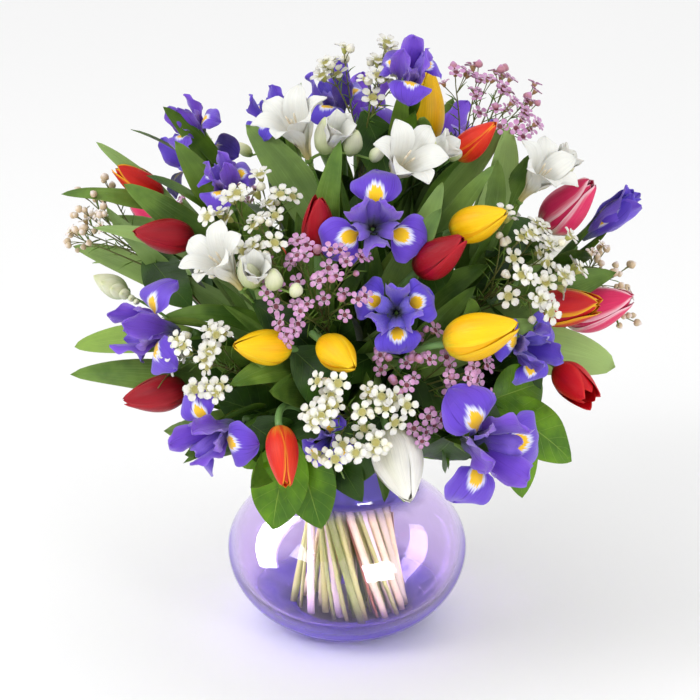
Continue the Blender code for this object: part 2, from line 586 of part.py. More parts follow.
def vase():
    outer, inner = glass_profile()
    a = np.arange(VASE_SEGMENTS) * math.tau / VASE_SEGMENTS
    rings = [np.column_stack([r * np.cos(a), r * np.sin(a), np.full(VASE_SEGMENTS, z)]) for r, z in outer + inner]
    rings.append(np.array([[0.0, 0.0, FLOOR_THICKNESS]]))
    return solid("vase", *loft(rings))


COLOURS = {
    "flame": (0.72, 0.16, 0.03), "flame_wide": (0.75, 0.10, 0.06), "crimson": (0.38, 0.012, 0.03), "scarlet": (0.52, 0.015, 0.02),
    "orange": (0.75, 0.09, 0.03), "yellow": (0.93, 0.60, 0.02), "pink": (0.75, 0.12, 0.25), "white": (0.90, 0.89, 0.82),
    "violet": (0.11, 0.05, 0.50), "blue": (0.08, 0.06, 0.55), "buds": (0.50, 0.42, 0.22), "leaf": (0.10, 0.22, 0.03),
}
MAKERS = {"tulip": tulip, "iris": iris, "freesia": freesia, "wax": wax, "salal": salal}

glass = vase()
shader = paint(glass, (0.55, 0.42, 0.85), 0.04)
shader.inputs["Alpha"].default_value = 0.4

bed = settle()
leaves = place_leaves(bed)
for k, (name, kind, *_rest) in enumerate(HEADS):
    size, colour = HEADS[k][7], HEADS[k][8]
    made = MAKERS[kind](name, bed["foot"][k], bed["path"][k], bed["face"][k], bed["half"][k], bed["radius"][k], size)
    grown = []
    for leaf in leaves:
        if leaf is None or leaf[0] != k:
            continue
        at, tip, width, across = leaf[1:]
        along = bed["path"][k][at + 1] - bed["path"][k][at - 1]
        along /= np.linalg.norm(along)
        grown.append(blade("leaf", leaf_line(bed["path"][k][at], along, tip, 8), across, width))
    join(made, grown)
    paint(made, COLOURS[colour], 0.55)
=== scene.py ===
import math

import bpy
import numpy as np
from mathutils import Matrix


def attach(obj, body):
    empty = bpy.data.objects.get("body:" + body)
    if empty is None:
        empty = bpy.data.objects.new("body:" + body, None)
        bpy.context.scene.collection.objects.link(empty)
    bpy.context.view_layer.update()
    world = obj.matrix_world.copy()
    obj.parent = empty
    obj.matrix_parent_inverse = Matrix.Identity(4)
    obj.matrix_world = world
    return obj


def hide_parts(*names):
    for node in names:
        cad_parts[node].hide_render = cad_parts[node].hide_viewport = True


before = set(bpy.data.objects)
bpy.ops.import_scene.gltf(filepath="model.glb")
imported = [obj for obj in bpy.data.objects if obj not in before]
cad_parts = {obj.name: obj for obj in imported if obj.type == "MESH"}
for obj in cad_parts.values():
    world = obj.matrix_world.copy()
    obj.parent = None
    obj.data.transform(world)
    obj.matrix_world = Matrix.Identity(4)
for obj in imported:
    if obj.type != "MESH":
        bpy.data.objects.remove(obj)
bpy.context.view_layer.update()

MM = 0.001                 # sizes are worked out in millimetres and built in metres

# ---------------------------------------------------------------- the vase
BELLY_RADIUS = 98.0        # widest half width of the bowl
BELLY_HEIGHT = 66.0        # height of the widest ring above the table
FOOT_RADIUS = 46.0         # flat ring it stands on
NECK_RADIUS = 51.0         # outside of the short upright collar
NECK_START = 121.0         # where the shoulder turns into the collar
RIM_HEIGHT = 152.0         # top of the rim
WALL = 4.5                 # glass thickness at neck and belly
FLOOR_THICKNESS = 13.0     # the heavy bottom

# ---------------------------------------------------------------- the bundle of stems
WAIST_HEIGHT = 128.0       # where the bundle is tightest
WAIST_RADIUS = 38.0        # furthest a stem centre may be from the axis there
WAIST_CENTRE = (0.0, -2.5) # the bundle leans on the front of the neck
FOOT_CENTRE = (0.0, -9.0)  # and the cut ends stand a little to the front
FOOT_SPREAD = 1.34         # how much wider the bundle is on the floor than at the waist
SPIRAL_BELOW = 50.0        # turn of the bundle from the floor up to the waist
SPIRAL_ABOVE = 22.0        # turn from the waist up to the heads
STEM_GAP = 0.6             # air kept between two stems
CROWN = np.array([0.0, 0.0, 185.0])    # the point the dome of heads is measured from
CUT_END = FLOOR_THICKNESS + 0.3        # height of the cut ends, with air under them

STEM_RADIUS = {"tulip": 3.1, "iris": 3.0, "freesia": 1.9, "wax": 1.5, "salal": 1.8}
HEAD_LENGTH = {"tulip": 56.0, "iris": 70.0, "freesia": 52.0, "wax": 52.0, "salal": 60.0}

# name, whose first word is its kind, azimuth and tilt of the head seen from the crown, its reach
# from there, azimuth and tilt of the way it faces, size against the usual, colour
HEADS = [
    ("tulip_flame_left", -175, 42, 254, -164, 52, 0.95, "flame"),
    ("tulip_red_left", -148, 43, 238, -158, 78, 0.95, "crimson"),
    ("tulip_red_centre", -98, 36, 244, -85, 20, 1.0, "crimson"),
    ("tulip_red_right", -66, 42, 246, -32, 50, 1.0, "crimson"),
    ("tulip_orange_top", -36, 26, 270, -35, 47, 0.95, "orange"),
    ("tulip_yellow_top", -20, 14, 264, -50, 8, 1.1, "yellow"),
    ("tulip_yellow_upper", -52, 40, 250, -28, 64, 0.98, "yellow"),
    ("tulip_yellow_right", -62, 58, 240, -16, 70, 1.1, "yellow"),
    ("tulip_yellow_front", -90, 59, 225, -94, 82, 0.95, "yellow"),
    ("tulip_yellow_left", -109, 58, 224, -148, 76, 0.95, "yellow"),
    ("tulip_pink_right", -8, 44, 250, -28, 42, 1.08, "pink"),
    ("tulip_flame_right", -30, 58, 228, -22, 78, 1.05, "flame_wide"),
    ("tulip_pink_far", -12, 63, 232, -18, 68, 1.1, "pink"),
    ("tulip_red_low_left", -146, 74, 184, -164, 96, 1.0, "crimson"),
    ("tulip_red_low_right", -36, 73, 208, -58, 106, 1.0, "scarlet"),
    ("tulip_orange_low", -101, 78, 212, -80, 132, 1.0, "orange"),
    ("tulip_white_low", -79, 81, 203, -77, 128, 1.1, "white"),
    ("iris_top_left", 180, 27, 266, -155, 36, 0.8, "violet"),
    ("iris_upper_left", -137, 30, 250, -112, 30, 0.85, "violet"),
    ("iris_top_mid_left", -146, 15, 264, -110, 28, 0.8, "blue"),
    ("iris_top", -106, 5, 272, -115, 20, 0.95, "blue"),
    ("iris_top_right", -56, 14, 298, -75, 28, 0.95, "violet"),
    ("iris_centre", -82, 37, 248, -88, 52, 1.1, "violet"),
    ("iris_centre_low", -80, 52, 226, -95, 60, 1.0, "blue"),
    ("iris_left", -140, 60, 222, -150, 76, 1.1, "violet"),
    ("iris_low_left", -119, 76, 211, -130, 92, 1.05, "violet"),
    ("iris_low_small", -96, 77, 198, -102, 84, 0.7, "blue"),
    ("iris_low_right", -63, 75, 222, -60, 84, 1.3, "violet"),
    ("iris_right", -46, 62, 220, -55, 84, 1.0, "blue"),
    ("iris_far_right", 2, 54, 248, -12, 46, 1.0, "blue"),
    ("freesia_top_left", -111, 21, 266, -128, 30, 1.15, "white"),
    ("freesia_top_right", -71, 27, 261, -60, 48, 1.15, "white"),
    ("freesia_right", -27, 37, 260, -45, 40, 1.1, "white"),
    ("freesia_left", -117, 47, 248, -138, 40, 1.1, "white"),
    ("freesia_buds_left", -162, 57, 228, -166, 60, 0.8, "white"),
    ("wax_white_left", -117, 38, 238, -120, 42, 1.1, "white"),
    ("wax_white_low_left", -124, 63, 210, -128, 68, 1.0, "white"),
    ("wax_white_low", -90, 70, 200, -90, 74, 1.2, "white"),
    ("wax_white_right", -42, 47, 238, -42, 50, 1.2, "white"),
    ("wax_white_top", -72, 11, 288, -80, 14, 1.0, "white"),
    ("wax_pink_centre", -98, 47, 226, -100, 52, 1.1, "pink"),
    ("wax_pink_low", -69, 66, 206, -69, 68, 1.2, "pink"),
    ("wax_pink_top", -10, 24, 276, -15, 28, 1.2, "pink"),
    ("wax_buds_left", -178, 49, 248, -172, 54, 1.2, "buds"),
    ("wax_buds_right", -2, 60, 228, -6, 58, 1.1, "buds"),
    ("salal_front", -104, 82, 174, -98, 134, 0.95, "leaf"),
    ("salal_right", -46, 75, 206, -28, 98, 1.1, "leaf"),
    ("tulip_back_yellow", 124, 26, 236, 116, 32, 1.0, "yellow"),
    ("tulip_back_red", 62, 48, 236, 60, 62, 1.0, "crimson"),
    ("tulip_back_pink", 146, 56, 232, 152, 68, 1.05, "pink"),
    ("tulip_back_flame", 106, 72, 216, 102, 88, 1.0, "flame"),
    ("tulip_back_white", 34, 64, 226, 28, 78, 1.0, "white"),
    ("iris_back_top", 74, 13, 244, 70, 18, 1.0, "violet"),
    ("iris_back_left", 156, 34, 236, 150, 46, 1.05, "blue"),
    ("iris_back_mid", 84, 58, 226, 86, 72, 1.1, "violet"),
    ("iris_back_right", 42, 30, 238, 38, 44, 1.05, "violet"),
    ("freesia_back", 104, 38, 236, 108, 46, 1.1, "white"),
    ("wax_back_white", 48, 72, 206, 46, 76, 1.4, "white"),
    ("wax_back_pink", 126, 62, 206, 128, 70, 1.4, "pink"),
]

STEPS = 26                 # points along a stem from the waist to its head
NECK_ROUNDS = 900          # rounds of pressing the stems apart in the neck
ROUNDS = 460               # rounds of easing heads and stems apart
RIM_BALLS = 48             # balls that stand for the rim of the vase


def unit(azimuth, tilt):
    """Direction with this azimuth about +Z and this tilt away from it, in degrees."""
    a, t = np.radians(azimuth), np.radians(tilt)
    return np.stack([np.sin(t) * np.cos(a), np.sin(t) * np.sin(a), np.cos(t)], -1)


def one(vector):
    """A vector brought to length one."""
    return vector / np.linalg.norm(vector)


def rows(vectors, least=0.0):
    """Each vector along the last axis brought to length one; least keeps a zero at zero."""
    return vectors / (np.linalg.norm(vectors, axis=-1, keepdims=True) + least)


def turns(count):
    """Angles spaced evenly round a circle."""
    return np.arange(count) * math.tau / count


def side_of(face):
    """A level direction across the way a head faces, and the one square to both."""
    level = one(np.cross([0.0, 0.0, 1.0], face))
    return level, np.cross(face, level)


def head_balls(kind, face, size):
    """Offsets from the middle of a head and radii of the balls that fill it."""
    s, t = side_of(face)
    if kind == "tulip":
        balls = [(-17, 0, 0, 13), (-4, 0, 0, 18), (10, 0, 0, 16.5), (22, 0, 0, 9)]
    elif kind == "iris":
        balls = [(-28, 0, 0, 8), (-14, 0, 0, 12), (20, 0, 0, 15), (8, 0, 0, 20)]
        falls = (math.pi / 2, math.pi * 7 / 6, math.pi * 11 / 6)
        balls += [(0, 22 * math.cos(a), 22 * math.sin(a), 10) for a in falls]
    elif kind == "freesia":
        balls = [(22, 0, 0, 17), (12, 0, 0, 14), (-2, 0, 0, 8), (0, 19, 3, 7), (9, 25, 3, 7)]
        balls += [(-14, 20, 4, 3), (-9, 34, 6, 6), (-3, 41, 6, 5)]
    elif kind == "wax":
        balls = [(22, 0, 0, 8)]
        balls += [(6, 21 * math.cos(a), 21 * math.sin(a), 8) for a in turns(5)]
    else:
        balls = [(-20, 0, 0, 5), (-8, 0, 2, 9), (5, 0, 3, 11), (17, 0, 4, 9), (26, 0, 5, 5)]
        wing = ((-17, 16, 2, 9), (-6, 29, 3, 11), (2, 40, 4, 7))
        balls += [(x, e * y, z, r) for e in (-1, 1) for x, y, z, r in wing]
    balls = np.array(balls, float) * size
    return balls[:, :1] * face + balls[:, 1:2] * s + balls[:, 2:3] * t, balls[:, 3]


def settle():
    """Give every stem its way through the bundle and every head its place in the dome.

    The stems share out the neck as circles that press each other apart.  Above it each one is a
    Hermite curve to the base of its head, and heads and curves are then eased apart, round by
    round, for a fixed number of rounds.
    """
    names, *columns, _ = zip(*HEADS)
    kinds = [name.split("_")[0] for name in names]
    az, tilt, reach, face_az, face_tilt, size = (np.array(column, float) for column in columns)
    n = len(HEADS)
    radius = np.array([STEM_RADIUS[k] for k in kinds])
    half = np.array([HEAD_LENGTH[k] for k in kinds]) * size / 2
    goal = CROWN + reach[:, None] * unit(az, tilt)
    face = unit(face_az, face_tilt)

    # the neck: circles pressed apart inside one circle
    turn = np.radians(az + SPIRAL_ABOVE)
    waist = (WAIST_RADIUS * (tilt / 84) ** 0.7)[:, None] * np.stack([np.cos(turn), np.sin(turn)], 1)
    need = radius[:, None] + radius[None] + STEM_GAP
    for _ in range(NECK_ROUNDS):
        gap = waist[:, None] - waist[None]
        dist = np.sqrt((gap ** 2).sum(-1)) + 1e-9
        push = np.clip(need - dist, 0, None) * 0.5
        np.fill_diagonal(push, 0)
        waist = waist + (gap / dist[..., None] * push[..., None]).sum(1)
        far = np.sqrt((waist ** 2).sum(1)) + 1e-9
        waist *= np.minimum(1, (WAIST_RADIUS + 3.1 - radius) / far)[:, None]
    low = math.radians(SPIRAL_BELOW)
    spin = np.array([[math.cos(low), -math.sin(low)], [math.sin(low), math.cos(low)]])
    feet = FOOT_SPREAD * waist @ spin.T
    start = np.column_stack([waist + np.array(WAIST_CENTRE), np.full(n, WAIST_HEIGHT)])
    foot = np.column_stack([feet + np.array(FOOT_CENTRE), np.full(n, CUT_END)])

    # balls: the points of the stems, the balls of the heads, and a ring for the rim of the vase
    balls = [head_balls(k, f, s) for k, f, s in zip(kinds, face, size)]
    owner = np.concatenate([np.full(len(b[1]), i) for i, b in enumerate(balls)])
    offset, ball_r = (np.concatenate(column) for column in zip(*balls))
    middle = goal.copy()
    place = np.arange(STEPS + 1)
    t = np.linspace(0, 1, STEPS + 1)[None, :, None]
    h0, h1, h2, h3 = 2 * t**3 - 3 * t**2 + 1, t**3 - 2 * t**2 + t, -2 * t**3 + 3 * t**2, t**3 - t**2
    sway = np.zeros((n, STEPS + 1, 3))
    hold = np.clip(np.minimum(place, place[::-1])[None, :, None] / 1.5, 0, 1)
    reach_out = rows(goal - CROWN)
    who = np.concatenate([np.repeat(np.arange(n), STEPS + 1), owner, np.full(RIM_BALLS, n)])
    thick = radius[:, None] + (0.5 + np.clip(place - 2, 0, 5)[None] * 0.45)
    a = turns(RIM_BALLS)
    rim = np.column_stack([np.cos(a), np.sin(a), np.zeros(RIM_BALLS)]) * (NECK_RADIUS - WALL / 2)
    rim = rim + np.array([0, 0, RIM_HEIGHT - 2.5])
    rad = np.concatenate([thick.ravel(), ball_r + 1.5, np.full(RIM_BALLS, WALL / 2 + 2.7)])
    is_head = np.zeros(len(who), bool)
    is_head[n * (STEPS + 1):-RIM_BALLS] = True
    for turn_no in range(ROUNDS):
        base = middle - face * half[:, None]
        span = np.linalg.norm(base - start, axis=1)[:, None]
        outward = rows(np.column_stack([base[:, :2] - start[:, :2], np.zeros(n)]), 1e-9)
        lead = rows(rows(start - foot) * 0.6 + np.array([0, 0, 0.5]) + outward * 0.05)
        path = (h0 * start[:, None] + h1 * (lead * span * 0.75)[:, None]
                + h2 * base[:, None] + h3 * (face * span * 0.55)[:, None]) + sway
        points = np.concatenate([path.reshape(-1, 3), middle[owner] + offset, rim])
        sq = (points ** 2).sum(1)
        d2 = sq[:, None] + sq[None] - 2 * points @ points.T
        want = rad[:, None] + rad[None]
        i, j = np.nonzero((d2 < want ** 2) & (who[:, None] < who[None]))
        delta = points[i] - points[j]
        dist = np.linalg.norm(delta, axis=1) + 1e-6
        push = delta / dist[:, None] * ((want[i, j] - dist) * 0.5)[:, None]
        shift = np.zeros_like(points)
        count = np.zeros(len(points))
        soft = np.where(is_head[i] & ~is_head[j], 0.25, np.where(~is_head[i] & is_head[j], 1.75, 1.0))
        np.add.at(shift, i, push * soft[:, None])
        np.add.at(shift, j, -push * (2 - soft)[:, None])
        np.add.at(count, i, 1)
        np.add.at(count, j, 1)
        shift /= np.maximum(1, np.sqrt(count))[:, None]
        stems = shift[: n * (STEPS + 1)].reshape(n, STEPS + 1, 3)
        sway += stems * hold * 0.9
        for _ in range(2):
            sway[:, 1:-1] = 0.5 * sway[:, 1:-1] + 0.25 * (sway[:, :-2] + sway[:, 2:])
        sway[:, [0, -1]] = 0
        heads = np.zeros((n, 3))
        np.add.at(heads, owner, shift[is_head])
        along = (heads * reach_out).sum(1, keepdims=True) * reach_out
        middle += 0.5 * (along + 0.45 * (heads - along))
        middle += max(0.0, 0.014 * (1 - 1.7 * turn_no / ROUNDS)) * (goal - middle)
        # inside the collar a stem keeps off the glass
        z = path[..., 2]
        flat = np.sqrt((path[..., :2] ** 2).sum(-1)) + 1e-9
        most = NECK_RADIUS - WALL - radius[:, None] - 1.7 + np.clip(z - RIM_HEIGHT - 4, 0, None) * 1.1
        over = np.clip(flat - most, 0, None) / flat
        sway[..., :2] -= path[..., :2] * over[..., None] * (z < RIM_HEIGHT + 60)[..., None]
    return {"names": names, "kind": kinds, "foot": foot, "path": path, "middle": middle, "face": face,
            "half": half, "radius": radius, "balls": balls}


# leaves: the stem one grows on, how far up from the waist (0 to 1), azimuth and tilt of its tip
# from the crown, the tip's reach, and its greatest width
LEAVES = [
    ("iris_top_left", 0.62, 178, 36, 286, 26),
    ("tulip_flame_left", 0.55, -176, 50, 272, 24),
    ("iris_upper_left", 0.60, -150, 30, 280, 30),
    ("tulip_red_left", 0.50, -166, 58, 262, 22),
    ("tulip_red_centre", 0.60, -92, 26, 288, 26),
    ("tulip_yellow_top", 0.60, -66, 14, 288, 26),
    ("tulip_orange_top", 0.62, -24, 28, 286, 34),
    ("tulip_red_right", 0.60, -66, 30, 274, 26),
    ("tulip_pink_right", 0.55, 0, 50, 262, 28),
    ("tulip_flame_right", 0.55, -14, 72, 252, 34),
    ("tulip_red_low_left", 0.45, -162, 76, 232, 28),
    ("tulip_yellow_left", 0.60, -122, 66, 228, 28),
    ("tulip_back_yellow", 0.60, 140, 20, 258, 30),
    ("tulip_back_red", 0.55, 72, 62, 246, 32),
    ("tulip_back_pink", 0.55, 166, 54, 250, 30),
    ("tulip_back_flame", 0.50, 118, 84, 230, 32),
    ("tulip_back_white", 0.50, 16, 66, 238, 30),
    ("iris_back_left", 0.55, 168, 42, 254, 26),
    ("iris_back_right", 0.55, 22, 32, 258, 26),
    ("iris_back_mid", 0.55, 98, 48, 250, 26),
]

BLADE = (-1, -0.67, -0.33, 0, 0.33, 0.67, 1)    # where a blade is tried against the stems, across it
KEEP_OFF = 3.2                                  # least air between a blade and another stem


def leaf_line(start, along, tip, steps):
    """Middle line of a leaf: it leaves the stem along it and bows out to its tip."""
    t = np.linspace(0, 1, steps)[:, None]
    span = np.linalg.norm(tip - start)
    bend = start + along * span * 0.55
    return (1 - t) ** 2 * start + 2 * t * (1 - t) * bend + t**2 * tip


def place_leaves(bed):
    """Turns or shortens each leaf of LEAVES until its blade is clear of every other stem."""
    points, rad, who = [], [], []
    for k, path in enumerate(bed["path"]):
        offset, r = bed["balls"][k]
        points += [path, (path[1:] + path[:-1]) / 2, bed["middle"][k] + offset]
        rad += [np.full(2 * STEPS + 1, bed["radius"][k]), r]
        who += [np.full(2 * STEPS + 1 + len(r), k)]
    points, rad, who = np.concatenate(points), np.concatenate(rad), np.concatenate(who)
    tries = [(shrink, turn, lift) for shrink in (1.0, 0.85, 0.7, 0.55)
             for turn in (0, 8, -8, 16, -16, 26, -26, 38, -38) for lift in (0, 8, -8, 16, -14)]
    t = np.linspace(0, 1, 23)
    placed = []
    for name, share, az, tilt, reach, width in LEAVES:
        k = bed["names"].index(name)
        path = bed["path"][k]
        at = int(round(share * STEPS))
        along = one(path[at + 1] - path[at - 1])
        others = who != k
        for shrink, turn, lift in tries:
            tip = CROWN + reach * unit(az + turn, tilt + lift)
            tip = path[at] + (tip - path[at]) * shrink
            across = one(np.cross(tip - path[at], along))
            line = leaf_line(path[at], along, tip, len(t))
            wide = width / 2 * np.sin(np.pi * t**0.8) ** 0.75
            blade = np.concatenate([line + across * (wide * e)[:, None] for e in BLADE])
            air = np.linalg.norm(blade[:, None] - points[others][None], axis=2) - rad[others][None]
            if air.min() > KEEP_OFF:
                placed.append((k, at, tip, width * (0.6 + 0.4 * shrink), across))
                points = np.concatenate([points, blade])
                rad = np.concatenate([rad, np.full(len(blade), 0.8)])
                who = np.concatenate([who, np.full(len(blade), k)])
                break
    return placed


# ================ surfaces
MARKS = ("across", "along", "part", "tone")


class Skin:
    """Collects closed grid surfaces, in millimetres, into one mesh with the attributes the
    materials read: across (-1 to 1 over a petal or leaf), along (0 to 1 from its base to its tip),
    part (which kind of petal) and tone (a little difference from piece to piece)."""

    def __init__(self):
        self.verts, self.quads, self.tris, self.marks, self.count = [], [], [], [], 0

    def loop(self, points, across, along, part=0.0, tone=0.0, rim=0.0):
        """points (m, n, 3): m rings of n corners, closed round the ring and capped at both ends."""
        m, n = points.shape[:2]
        body = np.arange(m * n).reshape(m, n) + self.count
        right = np.roll(body, -1, 1)
        self.quads.append(np.stack([body[:-1], right[:-1], right[1:], body[1:]], -1).reshape(-1, 4))
        low = self.count + m * n
        self.tris.append(np.stack([right[0], body[0], np.full(n, low)], -1))
        self.tris.append(np.stack([body[-1], right[-1], np.full(n, low + 1)], -1))
        self.verts += [points.reshape(-1, 3), points[[0, -1]].mean(1)]
        marks = np.stack([np.broadcast_to(x, (m, n)).ravel() for x in (across, along, part, tone, rim)], 1)
        self.marks += [marks, np.array([[0.0, marks[end, 1], part, tone, 0.0] for end in (0, -1)])]
        self.count = low + 2

    def sheet(self, points, across, along, part=0.0, tone=0.0, thick=0.5):
        """points (m, n, 3) of a petal or leaf, m from base to tip and n across: a thin closed
        shell, points +- normal * thick / 2 * sqrt(1 - across^2), meeting at both edges."""
        normal = rows(np.cross(np.gradient(points, axis=1), np.gradient(points, axis=0)), 1e-9)
        a, t = (np.broadcast_to(x, points.shape[:2]) for x in (across, along))
        half = thick / 2 * np.sqrt(np.clip(1 - a**2, 0, 1))[..., None]
        top, low = points + normal * half, points - normal * half
        ring, a, t = (np.concatenate([x, y[:, -2:0:-1]], 1) for x, y in ((top, low), (a, a), (t, t)))
        self.loop(ring, a, t, part, tone, np.abs(a) > 0.999)

    def tube(self, line, radius, sides=10, part=0.0, tone=0.0, flat=None):
        """A round rod along line (m, 3): point + radius * (x*cos + y*sin), with one radius or one
        per point; flat is a height that its first ring is cut level at."""
        x, y = carried(line)
        a = turns(sides)
        r = np.broadcast_to(radius, (len(line),))[:, None, None]
        ring = np.cos(a)[None, :, None] * x[:, None] + np.sin(a)[None, :, None] * y[:, None]
        points = line[:, None] + r * ring
        if flat is not None:
            points[0, :, 2] = flat
        self.loop(points, np.cos(a)[None], np.linspace(0, 1, len(line))[:, None], part, tone)

    def build(self, name, material, nodes=(), slot=None):
        """Make the piece, if anything is in it: nodes are the parts of the frame it stands for."""
        if not self.count:
            return
        mesh = bpy.data.meshes.new(name)
        mesh.vertices.add(self.count)
        mesh.vertices.foreach_set("co", (np.concatenate(self.verts) * MM).ravel())
        quads, tris = np.concatenate(self.quads), np.concatenate(self.tris)
        mesh.loops.add(quads.size + tris.size)
        mesh.loops.foreach_set("vertex_index", np.concatenate([quads.ravel(), tris.ravel()]))
        starts = np.concatenate([np.arange(len(quads)) * 4, quads.size + np.arange(len(tris)) * 3])
        mesh.polygons.add(len(starts))
        mesh.polygons.foreach_set("loop_start", starts)
        mesh.polygons.foreach_set("use_smooth", np.ones(len(starts), bool))
        mesh.update(calc_edges=True)
        marks = np.concatenate(self.marks)
        for k, word in enumerate(MARKS):
            values = marks[:, k].astype(np.float32)
            mesh.attributes.new(word, "FLOAT", "POINT").data.foreach_set("value", values)
        ends = np.empty(len(mesh.edges) * 2, np.int32)
        mesh.edges.foreach_get("vertices", ends)
        crisp = marks[ends, 4].reshape(-1, 2).min(1) > 0.5    # the edge round a petal or leaf
        mesh.attributes.new("sharp_edge", "BOOLEAN", "EDGE").data.foreach_set("value", crisp)
        mesh.materials.append(material)
        obj = show(name, mesh)
        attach(obj, "root")
        if nodes:
            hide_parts(*nodes)


def show(name, data):
    """A new object of the scene, at the origin."""
    obj = bpy.data.objects.new(name, data)
    bpy.context.scene.collection.objects.link(obj)
    return obj


def carried(line):
    """Two square directions at every point of a line, carried along it without twist."""
    along = rows(np.gradient(line, axis=0), 1e-12)
    x = np.array([1.0, 0.2, 0.0])
    xs = []
    for d in along:
        x = one(x - d * (x @ d))
        xs.append(x)
    return np.array(xs), np.cross(along, xs)


def rounded(line):
    """Corner cutting: every span gives way to its quarter points, the ends stay."""
    cut = np.empty((2 * (len(line) - 1), 3))
    cut[0::2] = 0.75 * line[:-1] + 0.25 * line[1:]
    cut[1::2] = 0.25 * line[:-1] + 0.75 * line[1:]
    return np.concatenate([line[:1], cut, line[-1:]])


def even(line, count):
    """count points spaced evenly along a line."""
    step = np.concatenate([[0], np.cumsum(np.linalg.norm(np.diff(line, axis=0), axis=1))])
    want = np.linspace(0, step[-1], count)
    return np.stack([np.interp(want, step, line[:, k]) for k in range(3)], 1)


def curve(stops, t):
    """Smooth curve through the stops (k, d) at t from 0 to 1, or at t points (Catmull-Rom)."""
    t = np.linspace(0, 1, t) if isinstance(t, int) else t
    p = np.asarray(stops, float)
    p = np.concatenate([[2 * p[0] - p[1]], p, [2 * p[-1] - p[-2]]])
    n = len(p) - 3
    s = np.clip(t * n, 0, n - 1e-9)
    i = s.astype(int)
    f = (s - i)[..., None]
    a, b, c, d = p[i], p[i + 1], p[i + 2], p[i + 3]
    return 0.5 * (2 * b + (c - a) * f + (2 * a - 5 * b + 4 * c - d) * f**2 + (3 * b - a - 3 * c + d) * f**3)


class Head:
    """Local axes of a bloom: origin at its base, z the way it faces, x and y turned by roll."""

    def __init__(self, base, face, roll=0.0):
        s, t = side_of(face)
        c, q = math.cos(roll), math.sin(roll)
        self.base, self.z = np.asarray(base, float), face
        self.x, self.y = c * s + q * t, -q * s + c * t

    def put(self, points):
        return self.base + points[..., :1] * self.x + points[..., 1:2] * self.y + points[..., 2:] * self.z

    def shifted(self, way):
        """The same axes, moved by way, which is given along them."""
        moved = Head(self.base, self.z)
        moved.base = self.base + (way[0] * self.x + way[1] * self.y + way[2] * self.z)
        moved.x, moved.y = self.x, self.y
        return moved


def petal(skin, head, turn, stops, width, cup, ruffle, part, tone, seed, grid, thick, crease, twist):
    """One petal.  A curve through the stops (r, z) is its middle line in the plane at angle turn,
    width(v) half its width.  A point is middle + u*w(v)*side
    + (-cup*u^2*w + ruffle*sin(..)*|u|^3 + crease*exp(-(u/.16)^2)) * normal, where side and normal
    turn by twist on the way to the tip; grid is the number of points along and across."""
    v = np.linspace(0, 1, grid[0])
    v = 0.5 * v + 0.5 * np.sin(v * math.pi / 2)
    u = np.linspace(-1, 1, grid[1])
    rz = curve(stops, v)
    slope = rows(np.gradient(rz, axis=0), 1e-9)
    w = width(v)
    c, s = math.cos(turn), math.sin(turn)
    radial, side, up = np.array([c, s, 0]), np.array([-s, c, 0]), np.array([0, 0, 1.0])
    middle = rz[:, :1] * radial + rz[:, 1:] * up
    normal = slope[:, 1:] * radial - slope[:, :1] * up
    lean = (twist * v)[:, None]
    side_v = np.cos(lean) * side + np.sin(lean) * normal
    norm_v = -np.sin(lean) * side + np.cos(lean) * normal
    uu, vv = np.meshgrid(u, v)
    lift = -cup * uu**2 * w[:, None]
    waves = ruffle * np.abs(uu) ** 3 * np.sin(vv * 17 + seed * 7 + np.sign(uu) * 1.3)
    lift = lift + waves * np.minimum(1, w[:, None] / 6)
    lift = lift + ruffle * 0.5 * vv**6 * np.sin(uu * 6 + seed * 3)
    lift = lift + crease * np.exp(-((uu / 0.16) ** 2)) * np.sin(np.pi * vv) ** 0.5
    points = middle[:, None] + uu[..., None] * w[:, None, None] * side_v[:, None]
    points = points + lift[..., None] * norm_v[:, None]
    skin.sheet(head.put(points), u[None], v[:, None], part, tone, thick)


# ================ flowers
THICK = 0.7                # thickness of a leaf and of a tulip's petal
PETAL = 0.6                # of the petals of irises and freesias, times their size


